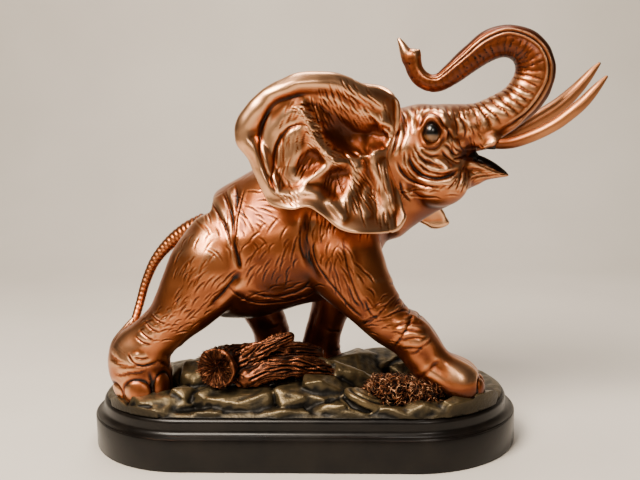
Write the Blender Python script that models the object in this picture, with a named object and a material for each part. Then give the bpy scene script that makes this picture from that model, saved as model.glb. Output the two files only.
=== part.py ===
"""Trumpeting elephant on its rocky ground, cast in one, standing on a moulded black plinth.

Metres, +Z up. The origin is at the middle of the plinth's underside and +X runs towards the head.
Shapes are written in millimetres and turned into metres where each mesh is made.
"""

import math

import bmesh
import bpy
from mathutils import Vector

MM = 0.001

# Plinth: a stadium in plan, moulded in a face, a cove and a rounded top.
PLINTH_LENGTH = 280.0
PLINTH_DEPTH = 136.0
FACE_HEIGHT = 21.0
PLINTH_HEIGHT = 32.0
TOP_INSET = 6.5
FOOT_CHAMFER = 0.8
COVE_STEPS = 5
ARC_STEPS = 20

# Casting: what is left between it and the plinth, and how finely it is modelled.
SEAT_GAP = 0.3
GROUND_INSET = 10.0
GROUND_THICKNESS = 5.5
RING_SIDES = 20
STEPS_PER_STATION = 3
VOXEL = 1.7
SMOOTHING_PASSES = 5
FACES_KEPT = 0.047

# Each limb is a run of stations: x, y, z, half height across the run, half width sideways.
TORSO = (
    (-68, 0, 122, 11, 13), (-60, 0, 121, 27, 31), (-45, 0, 121, 40, 42), (-18, 0, 133, 47, 45),
    (10, 0, 144, 49, 43), (32, 0, 155, 39, 37), (48, 0, 163, 27, 28),
)
NECK = ((22, 0, 166, 36, 32), (48, 0, 183, 32, 28), (74, 0, 193, 26, 26), (92, 0, 199, 18, 20))
THROAT = ((56, 0, 156, 24, 22), (72, 0, 163, 20, 18), (84, 0, 166, 17.5, 14), (94, 0, 167.5, 14, 12))
LOWER_JAW = (
    (94, 0, 174, 12, 14), (106, 0, 174, 10, 11), (113.5, 0, 175.5, 8.6, 9.8), (120.5, 0, 176.5, 5.8, 8),
    (128, 0, 175.2, 3.4, 5.8), (134.4, 0, 173.8, 1.8, 3.2),
)
TONGUE = ((104, 0, 181, 6, 8), (114, 0, 181.5, 5, 7), (124, 0, 178.5, 3.4, 5))
TRUNK = (
    (92, 0, 203, 17, 19), (106, 0, 204.5, 15, 17), (119, 0, 207, 13.8, 15.5), (131, 0, 213, 13.2, 14.5),
    (142.5, 0, 221.5, 12.8, 13), (151, 0, 237, 12.8, 12.8), (147, 0, 251, 11.8, 11.8),
    (134, 0, 257.5, 10.6, 10.5), (121, 0, 254, 9.8, 9.6), (109, 0, 245.5, 8.2, 8.2), (99, 0, 238, 7, 7),
    (90, 0, 232.5, 6.2, 6.2), (82, 0, 234, 5.9, 5.8), (76.3, 0, 240, 5.4, 5.3), (74.2, 0, 247, 5.4, 5.2),
    (69, 0, 256, 3, 3.6),
)
NEAR_HIND_LEG = (
    (-46, -20, 132, 26, 22), (-56, -26, 117, 27, 22), (-68, -30, 101, 22, 19), (-81, -31, 86, 16.5, 17),
    (-94, -31, 74, 16, 15.5), (-102.5, -31, 64, 19.5, 16.5), (-102, -31, 54, 19.5, 17),
    (-99.5, -31, 44, 18, 18), (-98, -31, 36, 16, 18), (-97.5, -31, 31, 15, 17.5),
)
FAR_HIND_LEG = (
    (-45, 20, 125, 28, 22), (-40, 26, 104, 22, 19), (-32, 28, 84, 15.5, 16), (-25, 29, 66, 13, 14),
    (-23, 29, 50, 13.5, 14.5), (-22, 29, 40, 16, 16), (-22, 29, 32, 16.5, 16.5),
)
NEAR_FORE_LEG = (
    (16, -18, 150, 28, 22), (28, -26, 126, 27, 21), (42, -31, 105, 20, 18), (56, -33, 87, 15, 16),
    (70, -34, 74, 13, 14.5), (83, -34, 62.5, 12.5, 14), (92, -34, 54, 14, 15.5), (99, -34, 47, 15.3, 17),
    (102, -34, 40, 15.6, 18), (103, -34, 33, 15, 17.5),
)
FAR_FORE_LEG = (
    (22, 18, 130, 30, 20), (22, 25, 108, 23, 18), (20, 28, 88, 15.5, 16), (15, 29, 72, 12.5, 13.5),
    (11, 29, 58, 12.8, 13.5), (10, 29, 46, 14.5, 15), (11, 29, 38, 16.5, 16.5), (11, 29, 32, 17, 17),
)
TAIL = (
    (-66, 0, 145, 5, 5), (-77, 0, 140, 3.8, 3.8), (-89, -1, 131, 3, 3), (-97.5, -3, 119.5, 2.6, 2.6),
    (-103.5, -6, 105.5, 2.4, 2.4), (-107, -11, 92, 2.4, 2.4), (-109.5, -18, 83, 2.6, 2.6),
    (-112.5, -25, 78, 4, 4.4), (-116, -31, 71.5, 4.8, 5), (-118, -35, 66.5, 3.4, 3.6),
)
NEAR_TUSK = (
    (110, -6, 198, 6, 6), (122, -10, 195.6, 5, 5), (133, -16, 195.4, 4.4, 4.4), (145, -20, 198.6, 3.9, 3.8),
    (153, -21.5, 202.2, 3.8, 3.8), (161.5, -23, 207.2, 3.9, 3.9), (170.3, -24, 214.1, 3.9, 3.9),
    (181, -24, 224.6, 3.1, 3.1), (188.5, -24, 234, 1.3, 1.3),
)
FAR_TUSK = (
    (110, 10, 196, 7, 7), (134, 16.5, 197.6, 6, 6), (148.1, 18, 203.6, 5.8, 5.8), (160.8, 19, 210.4, 5.8, 5.8),
    (170.3, 19.3, 217, 5.2, 5.2), (180, 20, 225.8, 4.3, 4.3), (186, 20, 232.4, 3.5, 3.5),
    (193, 20, 242, 1.3, 1.3),
)
LOG = (
    (-48, -38.5, 59.5, 12.4, 12.6), (-38, -28, 58, 11, 11), (-22, -20, 58, 10, 10), (-4, -14, 58, 9, 9.5),
    (12, -8, 54, 8, 8.5),
)
BRANCH = ((-41, -38, 57, 6, 6), (-32, -37, 63, 5, 5), (-19, -35, 70.5, 4.2, 4.2), (-5, -33, 75.5, 2.8, 2.8))
BARK = ((-32, -40, 52, 7, 8), (-14, -38, 57, 6.5, 7), (4, -33, 56, 7, 7), (20, -26, 50, 5, 6))

# Rounded masses: centre, then half sizes.
SKULL = ((81, 0, 197), (28, 26, 23))
CHEEKS = ((88, 0, 181), (22, 24, 17))
JOWLS = ((90, 0, 170), (19, 24, 15.5))
BROWS = ((88, 0, 208), (18, 25, 11))
STONES = (
    ((-26, -46, 35), (15, 10, 12)), ((-54, -45, 39), (11, 9, 11)), ((-71, -42, 40), (8.5, 8, 10)),
    ((-79, -51, 32), (11, 7, 6)), ((-4, -46, 37), (12, 10, 9)), ((17, -37, 44), (10, 9, 12)),
    ((43, -49, 40), (14, 9, 5)), ((28, -20, 36), (20, 16, 10)), ((64, -42, 43), (22, 12, 10)),
    ((50, 4, 40), (22, 12, 12)), ((-84, -2, 35), (22, 20, 6)), ((74, 8, 34), (24, 26, 6)),
    ((-20, 30, 35), (30, 24, 7)), ((14, 32, 35), (28, 20, 7)), ((-55, 28, 36), (20, 20, 7)),
    ((56, 36, 36), (22, 16, 7)),
)

# Ears: outline as x, z about a middle, and how far each part stands out from the head's side.
EAR_MIDDLE = (18, 192)
NEAR_EAR = (
    (64, 219), (52, 229), (38, 237), (14, 241), (-10, 235), (-26, 221), (-31, 205), (-24, 187),
    (-15, 170), (-8, 160), (8, 161), (22, 149), (44, 143), (63, 144), (67, 155), (63, 172), (60, 190),
    (62, 206),
)
FAR_EAR = (
    (65, 222), (57, 231), (40, 234), (14, 235), (-8, 229), (-22, 215), (-26, 200), (-18, 183),
    (-6, 168), (14, 158), (42, 152), (66, 144), (83, 137), (94, 133.8), (100.5, 138), (95, 148),
    (80, 166), (66, 182), (61, 203),
)
EAR_ROOT_DEPTH = 27.0
EAR_FLARE = 29.0
EAR_BOWL = 9.0
EAR_THICKNESS = 4.6
EAR_SIDES = 60
EAR_RINGS = 9


def clear_scene():
    """Removes whatever the scene holds."""
    for obj in list(bpy.data.objects):
        bpy.data.objects.remove(obj)


def make_material(name, colour, roughness, metallic):
    """Returns a Principled material of one colour."""
    material = bpy.data.materials.new(name)
    material.use_nodes = True
    shader = material.node_tree.nodes["Principled BSDF"]
    shader.inputs["Base Color"].default_value = (*colour, 1.0)
    shader.inputs["Roughness"].default_value = roughness
    shader.inputs["Metallic"].default_value = metallic
    material.diffuse_color = (*colour, 1.0)
    return material


def make_object(name, shape, material=None):
    """Turns a bmesh into an object of that name, smooth but for its sharp edges."""
    bmesh.ops.recalc_face_normals(shape, faces=shape.faces)
    mesh = bpy.data.meshes.new(name)
    shape.to_mesh(mesh)
    shape.free()
    mesh.shade_smooth()
    mesh.set_sharp_from_angle(angle=math.radians(40))
    if material:
        mesh.materials.append(material)
    obj = bpy.data.objects.new(name, mesh)
    bpy.context.collection.objects.link(obj)
    return obj


def curve_through(points, steps, closed=False):
    """Yields points of a Catmull-Rom curve through the given ones, steps to each stretch."""
    count = len(points)
    for i in range(count if closed else count - 1):
        if closed:
            before, start, end, after = (Vector(points[(i + k) % count]) for k in (-1, 0, 1, 2))
        else:
            start, end = Vector(points[i]), Vector(points[i + 1])
            before = Vector(points[i - 1]) if i else 2 * start - end
            after = Vector(points[i + 2]) if i + 2 < count else 2 * end - start
        for step in range(steps):
            t = step / steps
            yield 0.5 * (
                2 * start
                + (end - before) * t
                + (2 * before - 5 * start + 4 * end - after) * t * t
                + (3 * start - before - 3 * end + after) * t**3
            )
    if not closed:
        yield Vector(points[-1])


def bridge_rings(shape, rings, wrap=False):
    """Joins each ring of points to the next with quads, and caps the ends unless they wrap."""
    for lower, upper in zip(rings, rings[1:]):
        for i, corner in enumerate(lower):
            j = (i + 1) % len(lower)
            shape.faces.new((corner, lower[j], upper[j], upper[i]))
    if not wrap:
        shape.faces.new(rings[0])
        shape.faces.new(rings[-1])


def add_limb(shape, stations):
    """Adds a round-ended tube whose oval section follows the stations."""
    runs = list(curve_through(stations, STEPS_PER_STATION))
    spine = [Vector(run[:3]) for run in runs]
    rings = []
    for i, run in enumerate(runs):
        along = (spine[min(i + 1, len(spine) - 1)] - spine[max(i - 1, 0)]).normalized()
        side = (Vector((0, 1, 0)) - along * along.y).normalized()
        upward = along.cross(side)
        ends = []
        if i == 0:
            ends = [(-0.8, 0.6), (-0.5, 0.87), (0.0, 1.0)]
        elif i == len(runs) - 1:
            ends = [(0.0, 1.0), (0.5, 0.87), (0.8, 0.6)]
        for out, share in ends or [(0.0, 1.0)]:
            centre = spine[i] + along * out * min(run[3], run[4])
            rings.append([
                shape.verts.new((
                    centre
                    + upward * math.cos(turn) * run[3] * share
                    + side * math.sin(turn) * run[4] * share
                ) * MM)
                for turn in (2 * math.pi * k / RING_SIDES for k in range(RING_SIDES))
            ])
    bridge_rings(shape, rings)


def add_mass(shape, centre, half_sizes):
    """Adds a rounded mass."""
    made = bmesh.ops.create_icosphere(shape, subdivisions=3, radius=1.0)
    for vert in made["verts"]:
        vert.co = Vector(c + v * h for c, v, h in zip(centre, vert.co, half_sizes)) * MM


def ear_depth(x, z, reach):
    """How far out of the head's middle plane an ear stands at a place, reach being 1 at its rim."""
    back = min(max((62 - x) / 92, 0.0), 1.0)
    flare = EAR_FLARE * math.sin(back * math.pi / 2) ** 0.8
    skirt = 13.0 * min(max((185 - z) / 45, 0.0), 1.0) * (1 - 0.6 * back)
    bowl = EAR_BOWL * max(0.0, 1 - reach**2)
    return EAR_ROOT_DEPTH + flare + skirt - bowl


def add_ear(shape, outline, side):
    """Adds an ear as a closed dished plate; side is -1 for the near one and 1 for the far one."""
    rim = list(curve_through([(x, z, 0) for x, z in outline], 4, closed=True))
    faces = {}
    for sheet in (-1, 1):
        for ring in range(1, EAR_RINGS + 1):
            reach = ring / EAR_RINGS
            half = EAR_THICKNESS / 2 * (0.45 if ring == EAR_RINGS else 1.0)
            row = []
            for point in rim:
                x = EAR_MIDDLE[0] + (point.x - EAR_MIDDLE[0]) * reach
                z = EAR_MIDDLE[1] + (point.y - EAR_MIDDLE[1]) * reach
                y = side * ear_depth(x, z, reach) + sheet * half
                row.append(shape.verts.new((x * MM, y * MM, z * MM)))
            faces[sheet, ring] = row
    front = [faces[-1, ring] for ring in range(1, EAR_RINGS + 1)]
    back = [faces[1, ring] for ring in range(EAR_RINGS, 0, -1)]
    bridge_rings(shape, front + back)


def stadium(length, depth, height):
    """Yields the points of a stadium outline at one height, anticlockwise from above."""
    radius = depth / 2
    straight = length / 2 - radius
    for end, start_angle in ((1, -math.pi / 2), (-1, math.pi / 2)):
        for step in range(ARC_STEPS + 1):
            turn = start_angle + math.pi * step / ARC_STEPS
            yield Vector((end * straight + radius * math.cos(turn), radius * math.sin(turn), height)) * MM


def add_stadium_solid(shape, profile):
    """Adds a solid whose plan is a stadium, from a profile of (inset, height)."""
    bridge_rings(shape, [
        [
            shape.verts.new(point)
            for point in stadium(PLINTH_LENGTH - 2 * inset, PLINTH_DEPTH - 2 * inset, height)
        ]
        for inset, height in profile
    ])


def plinth_profile():
    """Returns the plinth's moulding from its foot to its top, as (inset, height)."""
    profile = [(FOOT_CHAMFER, 0.0), (0.0, FOOT_CHAMFER), (0.0, FACE_HEIGHT - 0.8), (0.8, FACE_HEIGHT)]
    cove_width, cove_height = TOP_INSET - 2.0, 4.0
    for step in range(1, COVE_STEPS + 1):
        turn = math.pi / 2 * step / COVE_STEPS
        profile.append((
            1.2 + cove_width * math.sin(turn),
            FACE_HEIGHT + 0.6 + cove_height * (1 - math.cos(turn)),
        ))
    rim = 3.2
    top_inset = profile[-1][0] + 0.3
    for step in range(COVE_STEPS + 1):
        turn = math.pi / 2 * step / COVE_STEPS
        profile.append((
            top_inset + rim * (1 - math.cos(turn)),
            PLINTH_HEIGHT - rim + rim * math.sin(turn),
        ))
    return profile


def build_plinth():
    """Builds the moulded plinth."""
    shape = bmesh.new()
    add_stadium_solid(shape, plinth_profile())
    return make_object("plinth", shape, make_material("plinth_black", (0.012, 0.011, 0.010), 0.38, 0.0))


def build_casting():
    """Builds the elephant and its ground as one body, seated just above the plinth."""
    shape = bmesh.new()
    for limb in (
        TORSO, NECK, THROAT, LOWER_JAW, TONGUE, TRUNK, NEAR_HIND_LEG, FAR_HIND_LEG, NEAR_FORE_LEG,
        FAR_FORE_LEG, TAIL, NEAR_TUSK, FAR_TUSK, LOG, BRANCH, BARK,
    ):
        add_limb(shape, limb)
    for centre, half_sizes in (SKULL, CHEEKS, JOWLS, BROWS, *STONES):
        add_mass(shape, centre, half_sizes)
    add_ear(shape, NEAR_EAR, -1)
    add_ear(shape, FAR_EAR, 1)
    ground_top = PLINTH_HEIGHT + GROUND_THICKNESS
    add_stadium_solid(shape, (
        (GROUND_INSET, PLINTH_HEIGHT - 6), (GROUND_INSET, ground_top - 2), (GROUND_INSET + 3, ground_top),
    ))
    casting = make_object(
        "elephant_casting", shape, make_material("copper_plate", (0.45, 0.17, 0.06), 0.32, 1.0)
    )
    remesh = casting.modifiers.new("fuse", "REMESH")
    remesh.mode = "VOXEL"
    remesh.voxel_size = VOXEL * MM
    remesh.use_smooth_shade = True
    soften = casting.modifiers.new("soften", "SMOOTH")
    soften.factor = 0.5
    soften.iterations = SMOOTHING_PASSES
    thin = casting.modifiers.new("thin_out", "DECIMATE")
    thin.ratio = FACES_KEPT
    seat = casting.modifiers.new("seat", "BOOLEAN")
    seat.operation = "DIFFERENCE"
    seat.object = build_seat_cutter()
    return casting


def build_seat_cutter():
    """Builds the block that trims the casting's underside flat."""
    shape = bmesh.new()
    bmesh.ops.create_cube(shape, size=1.0)
    deep = 40.0
    for vert in shape.verts:
        vert.co = Vector((
            vert.co.x * 2 * PLINTH_LENGTH * MM,
            vert.co.y * 2 * PLINTH_DEPTH * MM,
            (PLINTH_HEIGHT + SEAT_GAP + (vert.co.z - 0.5) * deep) * MM,
        ))
    cutter = make_object("seat_cutter", shape)
    cutter.hide_render = True
    cutter.display_type = "WIRE"
    return cutter


clear_scene()
build_plinth()
build_casting()
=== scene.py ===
"""Trumpeting elephant in copper-plated resin on its black plinth: fine carving and finishes.

Shapes are worked out in millimetres and turned into metres where a mesh is made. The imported
model's casting node carries the weight and the collision; the carved pieces here stand for it.
"""

import logging
import math
from collections.abc import Iterable
from dataclasses import dataclass, field, replace
from enum import Enum

import bmesh
import bpy
import numpy as np
from mathutils import Matrix, Vector


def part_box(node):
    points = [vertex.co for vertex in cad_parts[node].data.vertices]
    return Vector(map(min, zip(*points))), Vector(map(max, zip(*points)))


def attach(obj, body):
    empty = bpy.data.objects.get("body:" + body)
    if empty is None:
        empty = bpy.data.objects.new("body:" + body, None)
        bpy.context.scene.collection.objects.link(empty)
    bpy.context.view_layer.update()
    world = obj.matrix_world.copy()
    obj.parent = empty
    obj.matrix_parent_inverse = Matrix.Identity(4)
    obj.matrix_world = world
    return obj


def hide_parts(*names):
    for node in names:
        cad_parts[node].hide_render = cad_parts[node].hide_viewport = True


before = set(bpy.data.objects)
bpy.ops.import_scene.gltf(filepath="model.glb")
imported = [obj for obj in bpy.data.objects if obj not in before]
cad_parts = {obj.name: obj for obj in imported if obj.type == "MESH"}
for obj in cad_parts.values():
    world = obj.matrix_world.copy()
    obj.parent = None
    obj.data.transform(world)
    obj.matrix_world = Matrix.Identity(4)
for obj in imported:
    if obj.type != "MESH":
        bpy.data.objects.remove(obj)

MM = 0.001
LOG = logging.getLogger("elephant")
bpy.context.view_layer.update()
CASTING = "elephant_casting"
PLINTH = "plinth"
BODY = "root"
PLINTH_LOW, PLINTH_HIGH = (np.array(corner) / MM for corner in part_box(PLINTH))
PLINTH_LENGTH, PLINTH_DEPTH, _ = PLINTH_HIGH - PLINTH_LOW
PLINTH_TOP = float(PLINTH_HIGH[2])
MOST_TRIANGLES = 196_000
PER_METRE = 1000.0
GOLDEN_TURN = 2.39996

Path = tuple[tuple[float, float], ...]
Run = tuple[tuple[float, float, float, float, float], ...]


class Side(Enum):
    """Which side of the animal a feature is on: the near one faces -Y."""

    NEAR = -1
    FAR = 1


# ---------------------------------------------------------------- curves and lofts


def curve_through(points: np.ndarray, steps: int, closed: bool = False) -> np.ndarray:
    """Samples a Catmull-Rom curve through points.

    Args:
        points: the curve's own points, one row each, of any number of columns.
        steps: samples to each stretch between two points.
        closed: whether the last point leads back to the first.

    Returns:
        The samples, one row each.
    """
    points = np.asarray(points, float)
    if closed:
        padded = np.vstack([points[-1:], points, points[:2]])
    else:
        padded = np.vstack([2 * points[0] - points[1], points, 2 * points[-1] - points[-2]])
    before, start, end, after = padded[:-3], padded[1:-2], padded[2:-1], padded[3:]
    t = (np.arange(steps) / steps)[None, :, None]
    samples = 0.5 * (
        2 * start[:, None]
        + (end - before)[:, None] * t
        + (2 * before - 5 * start + 4 * end - after)[:, None] * t**2
        + (3 * start - before - 3 * end + after)[:, None] * t**3
    )
    samples = samples.reshape(-1, points.shape[1])
    return samples if closed else np.vstack([samples, points[-1:]])


def unit(vectors: np.ndarray) -> np.ndarray:
    """Returns the vectors at length one."""
    return vectors / np.maximum(np.linalg.norm(vectors, axis=-1, keepdims=True), 1e-9)


def smooth_step(value: np.ndarray, low: float, high: float) -> np.ndarray:
    """Returns 0 below low, 1 above high, and a soft rise between."""
    t = np.clip((value - low) / (high - low), 0.0, 1.0)
    return t * t * (3 - 2 * t)


def turned(a: np.ndarray, b: np.ndarray, degrees: float) -> tuple[np.ndarray, np.ndarray]:
    """Returns two coordinates turned by an angle, the first towards the second."""
    angle = math.radians(degrees)
    return a * math.cos(angle) - b * math.sin(angle), a * math.sin(angle) + b * math.cos(angle)


def grid_faces(rings: int, sides: int) -> list[tuple[int, ...]]:
    """Joins rings of points, each ring closed on itself.

    Args:
        rings: how many rings.
        sides: how many points each ring has.

    Returns:
        The quads between them.
    """
    ring = np.arange(rings - 1)[:, None] * sides
    i = np.arange(sides)[None, :]
    j = (i + 1) % sides
    quads = np.stack([ring + i, ring + sides + i, ring + sides + j, ring + j], axis=-1)
    return [tuple(q) for q in quads.reshape(-1, 4).tolist()]


def tube_faces(rings: int, sides: int) -> list[tuple[int, ...]]:
    """Returns the faces of a closed tube: quads between its rings and a flat cap at each end."""
    last = rings * sides - 1
    return [*grid_faces(rings, sides), tuple(range(sides)), tuple(range(last, last - sides, -1))]


@dataclass(frozen=True)
class Limb:
    """A form along a run of stations: x, y, z, half height, half width in mm.

    Its ends are domes of the height given by bluntness: 1 is a half ball, and near 0 is flat.
    """

    stations: Run
    steps: int = 6
    sides: int = 40
    bluntness: float = 1.0

    def runs(self) -> np.ndarray:
        """Returns the stations with as many again between them as steps asks."""
        return curve_through(np.array(self.stations), self.steps)

    def frames(self) -> tuple[np.ndarray, np.ndarray, np.ndarray, np.ndarray]:
        """Works out the directions at each of the runs.

        Returns:
            The runs, and the directions along, sideways and upward at each.
        """
        runs = self.runs()
        along = unit(np.gradient(runs[:, :3], axis=0))
        side = unit(np.array([0.0, 1.0, 0.0]) - along * along[:, 1:2])
        return runs, along, side, np.cross(along, side)

    def mirrored(self) -> "Limb":
        """Returns the same form on the other side."""
        return replace(self, stations=tuple((x, -y, *rest) for x, y, *rest in self.stations))

    def mesh(self) -> tuple[np.ndarray, list[tuple[int, ...]]]:
        """Builds the form as a closed tube.

        Returns:
            Its points and faces.
        """
        runs, along, side, upward = self.frames()
        turns = np.linspace(0, 2 * np.pi, self.sides, endpoint=False)
        caps = ((0.97, 0.25), (0.87, 0.5), (0.6, 0.8), (0.3, 0.95), (0.0, 1.0))
        order = (
            [(0, -out, share) for out, share in caps]
            + [(i, 0.0, 1.0) for i in range(1, len(runs) - 1)]
            + [(len(runs) - 1, out, share) for out, share in reversed(caps)]
        )
        rings = []
        for i, out, share in order:
            centre = runs[i, :3] + along[i] * out * self.bluntness * min(runs[i, 3], runs[i, 4])
            rings.append(
                centre
                + np.outer(np.cos(turns) * runs[i, 3] * share, upward[i])
                + np.outer(np.sin(turns) * runs[i, 4] * share, side[i])
            )
        return np.vstack(rings), tube_faces(len(rings), self.sides)

    def place(self, points: np.ndarray) -> tuple[np.ndarray, np.ndarray, np.ndarray]:
        """Finds where points lie on the limb.

        Args:
            points: places in millimetres, one row each.

        Returns:
            The distance along the limb, the turn about it in radians (0 upward, negative
            on the near side) and how far out each lies, 1 being the limb's own surface.
        """
        runs, _, side, upward = self.frames()
        lengths = np.linalg.norm(np.diff(runs[:, :3], axis=0), axis=1)
        reached = np.concatenate([[0.0], np.cumsum(lengths)])
        fine = np.linspace(0, reached[-1], int(reached[-1] / 0.8) + 2)
        centre, half, side, upward = (
            np.stack([np.interp(fine, reached, column) for column in block.T], axis=1)
            for block in (runs[:, :3], runs[:, 3:], side, upward)
        )
        nearest = np.empty(len(points), int)
        for start in range(0, len(points), 20000):
            chunk = points[start : start + 20000]
            gap = (chunk**2).sum(1)[:, None] - 2 * chunk @ centre.T + (centre**2).sum(1)[None]
            nearest[start : start + 20000] = gap.argmin(axis=1)
        offset = points - centre[nearest]
        up = (offset * upward[nearest]).sum(1) / half[nearest, 0]
        across = (offset * side[nearest]).sum(1) / half[nearest, 1]
        return fine[nearest], np.arctan2(across, up), np.hypot(across, up)


@dataclass(frozen=True)
class Mass:
    """A rounded mass: its middle and half sizes in mm, and how far it is turned in the side view."""

    centre: tuple[float, float, float]
    half: tuple[float, float, float]
    turn: float = 0.0

    def mesh(self) -> tuple[np.ndarray, list[tuple[int, ...]]]:
        """Builds the form as a closed ball.

        Returns:
            Its points and faces.
        """
        rings, sides = 20, 32
        bows = np.pi * (np.arange(rings) + 0.5) / rings
        turns = np.linspace(0, 2 * np.pi, sides, endpoint=False)
        out = np.sin(bows)
        ball = np.stack([
            np.outer(out, np.cos(turns)), np.outer(out, np.sin(turns)), np.outer(np.cos(bows), np.ones(sides))
        ], axis=-1).reshape(-1, 3) * np.array(self.half)
        x, z = turned(ball[:, 0], ball[:, 2], self.turn)
        return np.stack([x, ball[:, 1], z], axis=1) + np.array(self.centre), tube_faces(rings, sides)

    def mirrored(self) -> "Mass":
        """Returns the same mass on the other side."""
        x, y, z = self.centre
        return replace(self, centre=(x, -y, z))


# ---------------------------------------------------------------- skins and carving


@dataclass
class Chart:
    """A flat map of part of a skin: which points it covers, and two coordinates of each in mm."""

    index: np.ndarray
    u: np.ndarray
    v: np.ndarray
    weight: np.ndarray


@dataclass(frozen=True)
class Fold:
    """One carved line: its path on a chart, and its cross-section in mm.

    A positive lip raises the skin along both edges, bulge swells it on the path's left side
    only, and a negative depth makes a ridge in place of a groove.
    """

    path: Path
    width: float = 0.8
    depth: float = 0.7
    lip: float = 0.35
    bulge: float = 0.0
    spread: float = 2.2
    taper: float = 0.25

    def carve(self, chart: Chart, height: np.ndarray) -> None:
        """Adds the fold to a skin's heights.

        Args:
            chart: the chart that its path is on.
            height: the skin's heights, which it changes.
        """
        line = curve_through(np.array(self.path, float), 5 if len(self.path) > 2 else 3)
        reach = max(4.2 * self.width, 2.6 * self.spread if self.bulge else 0.0)
        low, high = line.min(axis=0) - reach, line.max(axis=0) + reach
        near = np.flatnonzero(
            (chart.u > low[0]) & (chart.u < high[0]) & (chart.v > low[1]) & (chart.v < high[1])
        )
        if not len(near):
            return
        spot = np.stack([chart.u[near], chart.v[near]], axis=1)
        start, step = line[:-1], np.diff(line, axis=0)
        length2 = np.maximum((step**2).sum(1), 1e-9)
        offset = spot[:, None] - start[None]
        share = np.clip((offset * step[None]).sum(-1) / length2, 0.0, 1.0)
        gap = offset - share[..., None] * step[None]
        away = np.linalg.norm(gap, axis=-1)
        best = away.argmin(axis=1)
        row = np.arange(len(near))
        distance = away[row, best]
        left = np.sign(step[best, 0] * gap[row, best, 1] - step[best, 1] * gap[row, best, 0])
        reached = (best + share[row, best]) / len(step)
        fade = smooth_step(np.minimum(reached, 1 - reached), -0.02, self.taper)
        shape = -self.depth * np.exp(-((distance / self.width) ** 2))
        shape += self.lip * self.depth * np.exp(-(((distance - 2 * self.width) / self.width) ** 2))
        if self.bulge:
            swell = np.exp(-(((distance - self.spread) / self.spread) ** 2))
            shape += self.bulge * swell * (left > 0) * smooth_step(distance, 0.0, self.spread)
        np.add.at(height, chart.index[near], shape * fade * chart.weight[near])


def creases(section: tuple[float, ...], *paths: Path) -> list[Fold]:
    """Returns folds that share one cross-section: its width, depth, lip, bulge and spread."""
    return [Fold(path, *section) for path in paths]


@dataclass(frozen=True)
class Hatch:
    """A patch of carved strokes, combed in staggered rows along a slowly turning direction.

    Attributes:
        centre: the patch's middle on the chart, in mm.
        half: half its size along and across the strokes, in mm.
        angle: the strokes' direction at the middle, in degrees.
        swing: how much the direction turns across the patch.
        spacing: the distance between rows, in mm.
        length: the longest stroke, in mm.
        bow: how far the middle of a stroke stands off its chord, in mm.
    """

    centre: tuple[float, float]
    half: tuple[float, float]
    angle: float
    swing: float
    spacing: float
    length: float
    width: float = 0.6
    depth: float = 0.7
    seed: int = 1
    bow: float = 0.5

    def strokes(self) -> list[Fold]:
        """Combs the patch.

        Returns:
            The strokes as folds.
        """
        rng = np.random.default_rng(self.seed)
        made = []
        turn = math.radians(self.angle)
        rows = int(self.half[1] / self.spacing)
        for row in range(-rows, rows + 1):
            start = -self.half[0] + (row % 2) * 0.45 * self.length
            for along in np.arange(start, self.half[0] + 0.1, 0.92 * self.length):
                a = along + rng.uniform(-0.22, 0.22) * self.length
                b = (row + rng.uniform(-0.28, 0.28)) * self.spacing
                share = (a / self.half[0]) ** 2 + (b / self.half[1]) ** 2
                shrink = rng.uniform(0.45, 1.0)
                deep = self.depth * rng.uniform(0.55, 1.15)
                if share > 1.15 or rng.uniform() < 0.12:
                    continue
                u = self.centre[0] + a * math.cos(turn) - b * math.sin(turn)
                v = self.centre[1] + a * math.sin(turn) + b * math.cos(turn)
                way = turn + math.radians(self.swing * b / self.half[1] / 2 + rng.uniform(-6, 6))
                long = self.length * shrink / 2
                ahead = (math.cos(way), math.sin(way))
                bow = self.bow * rng.uniform(0.4, 1.4)
                path = (
                    (u - ahead[0] * long, v - ahead[1] * long),
                    (u - ahead[1] * bow, v + ahead[0] * bow),
                    (u + ahead[0] * long, v + ahead[1] * long),
                )
                made.append(Fold(path, self.width * rng.uniform(0.85, 1.2), deep, 0.35, taper=0.5))
        return made


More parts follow.
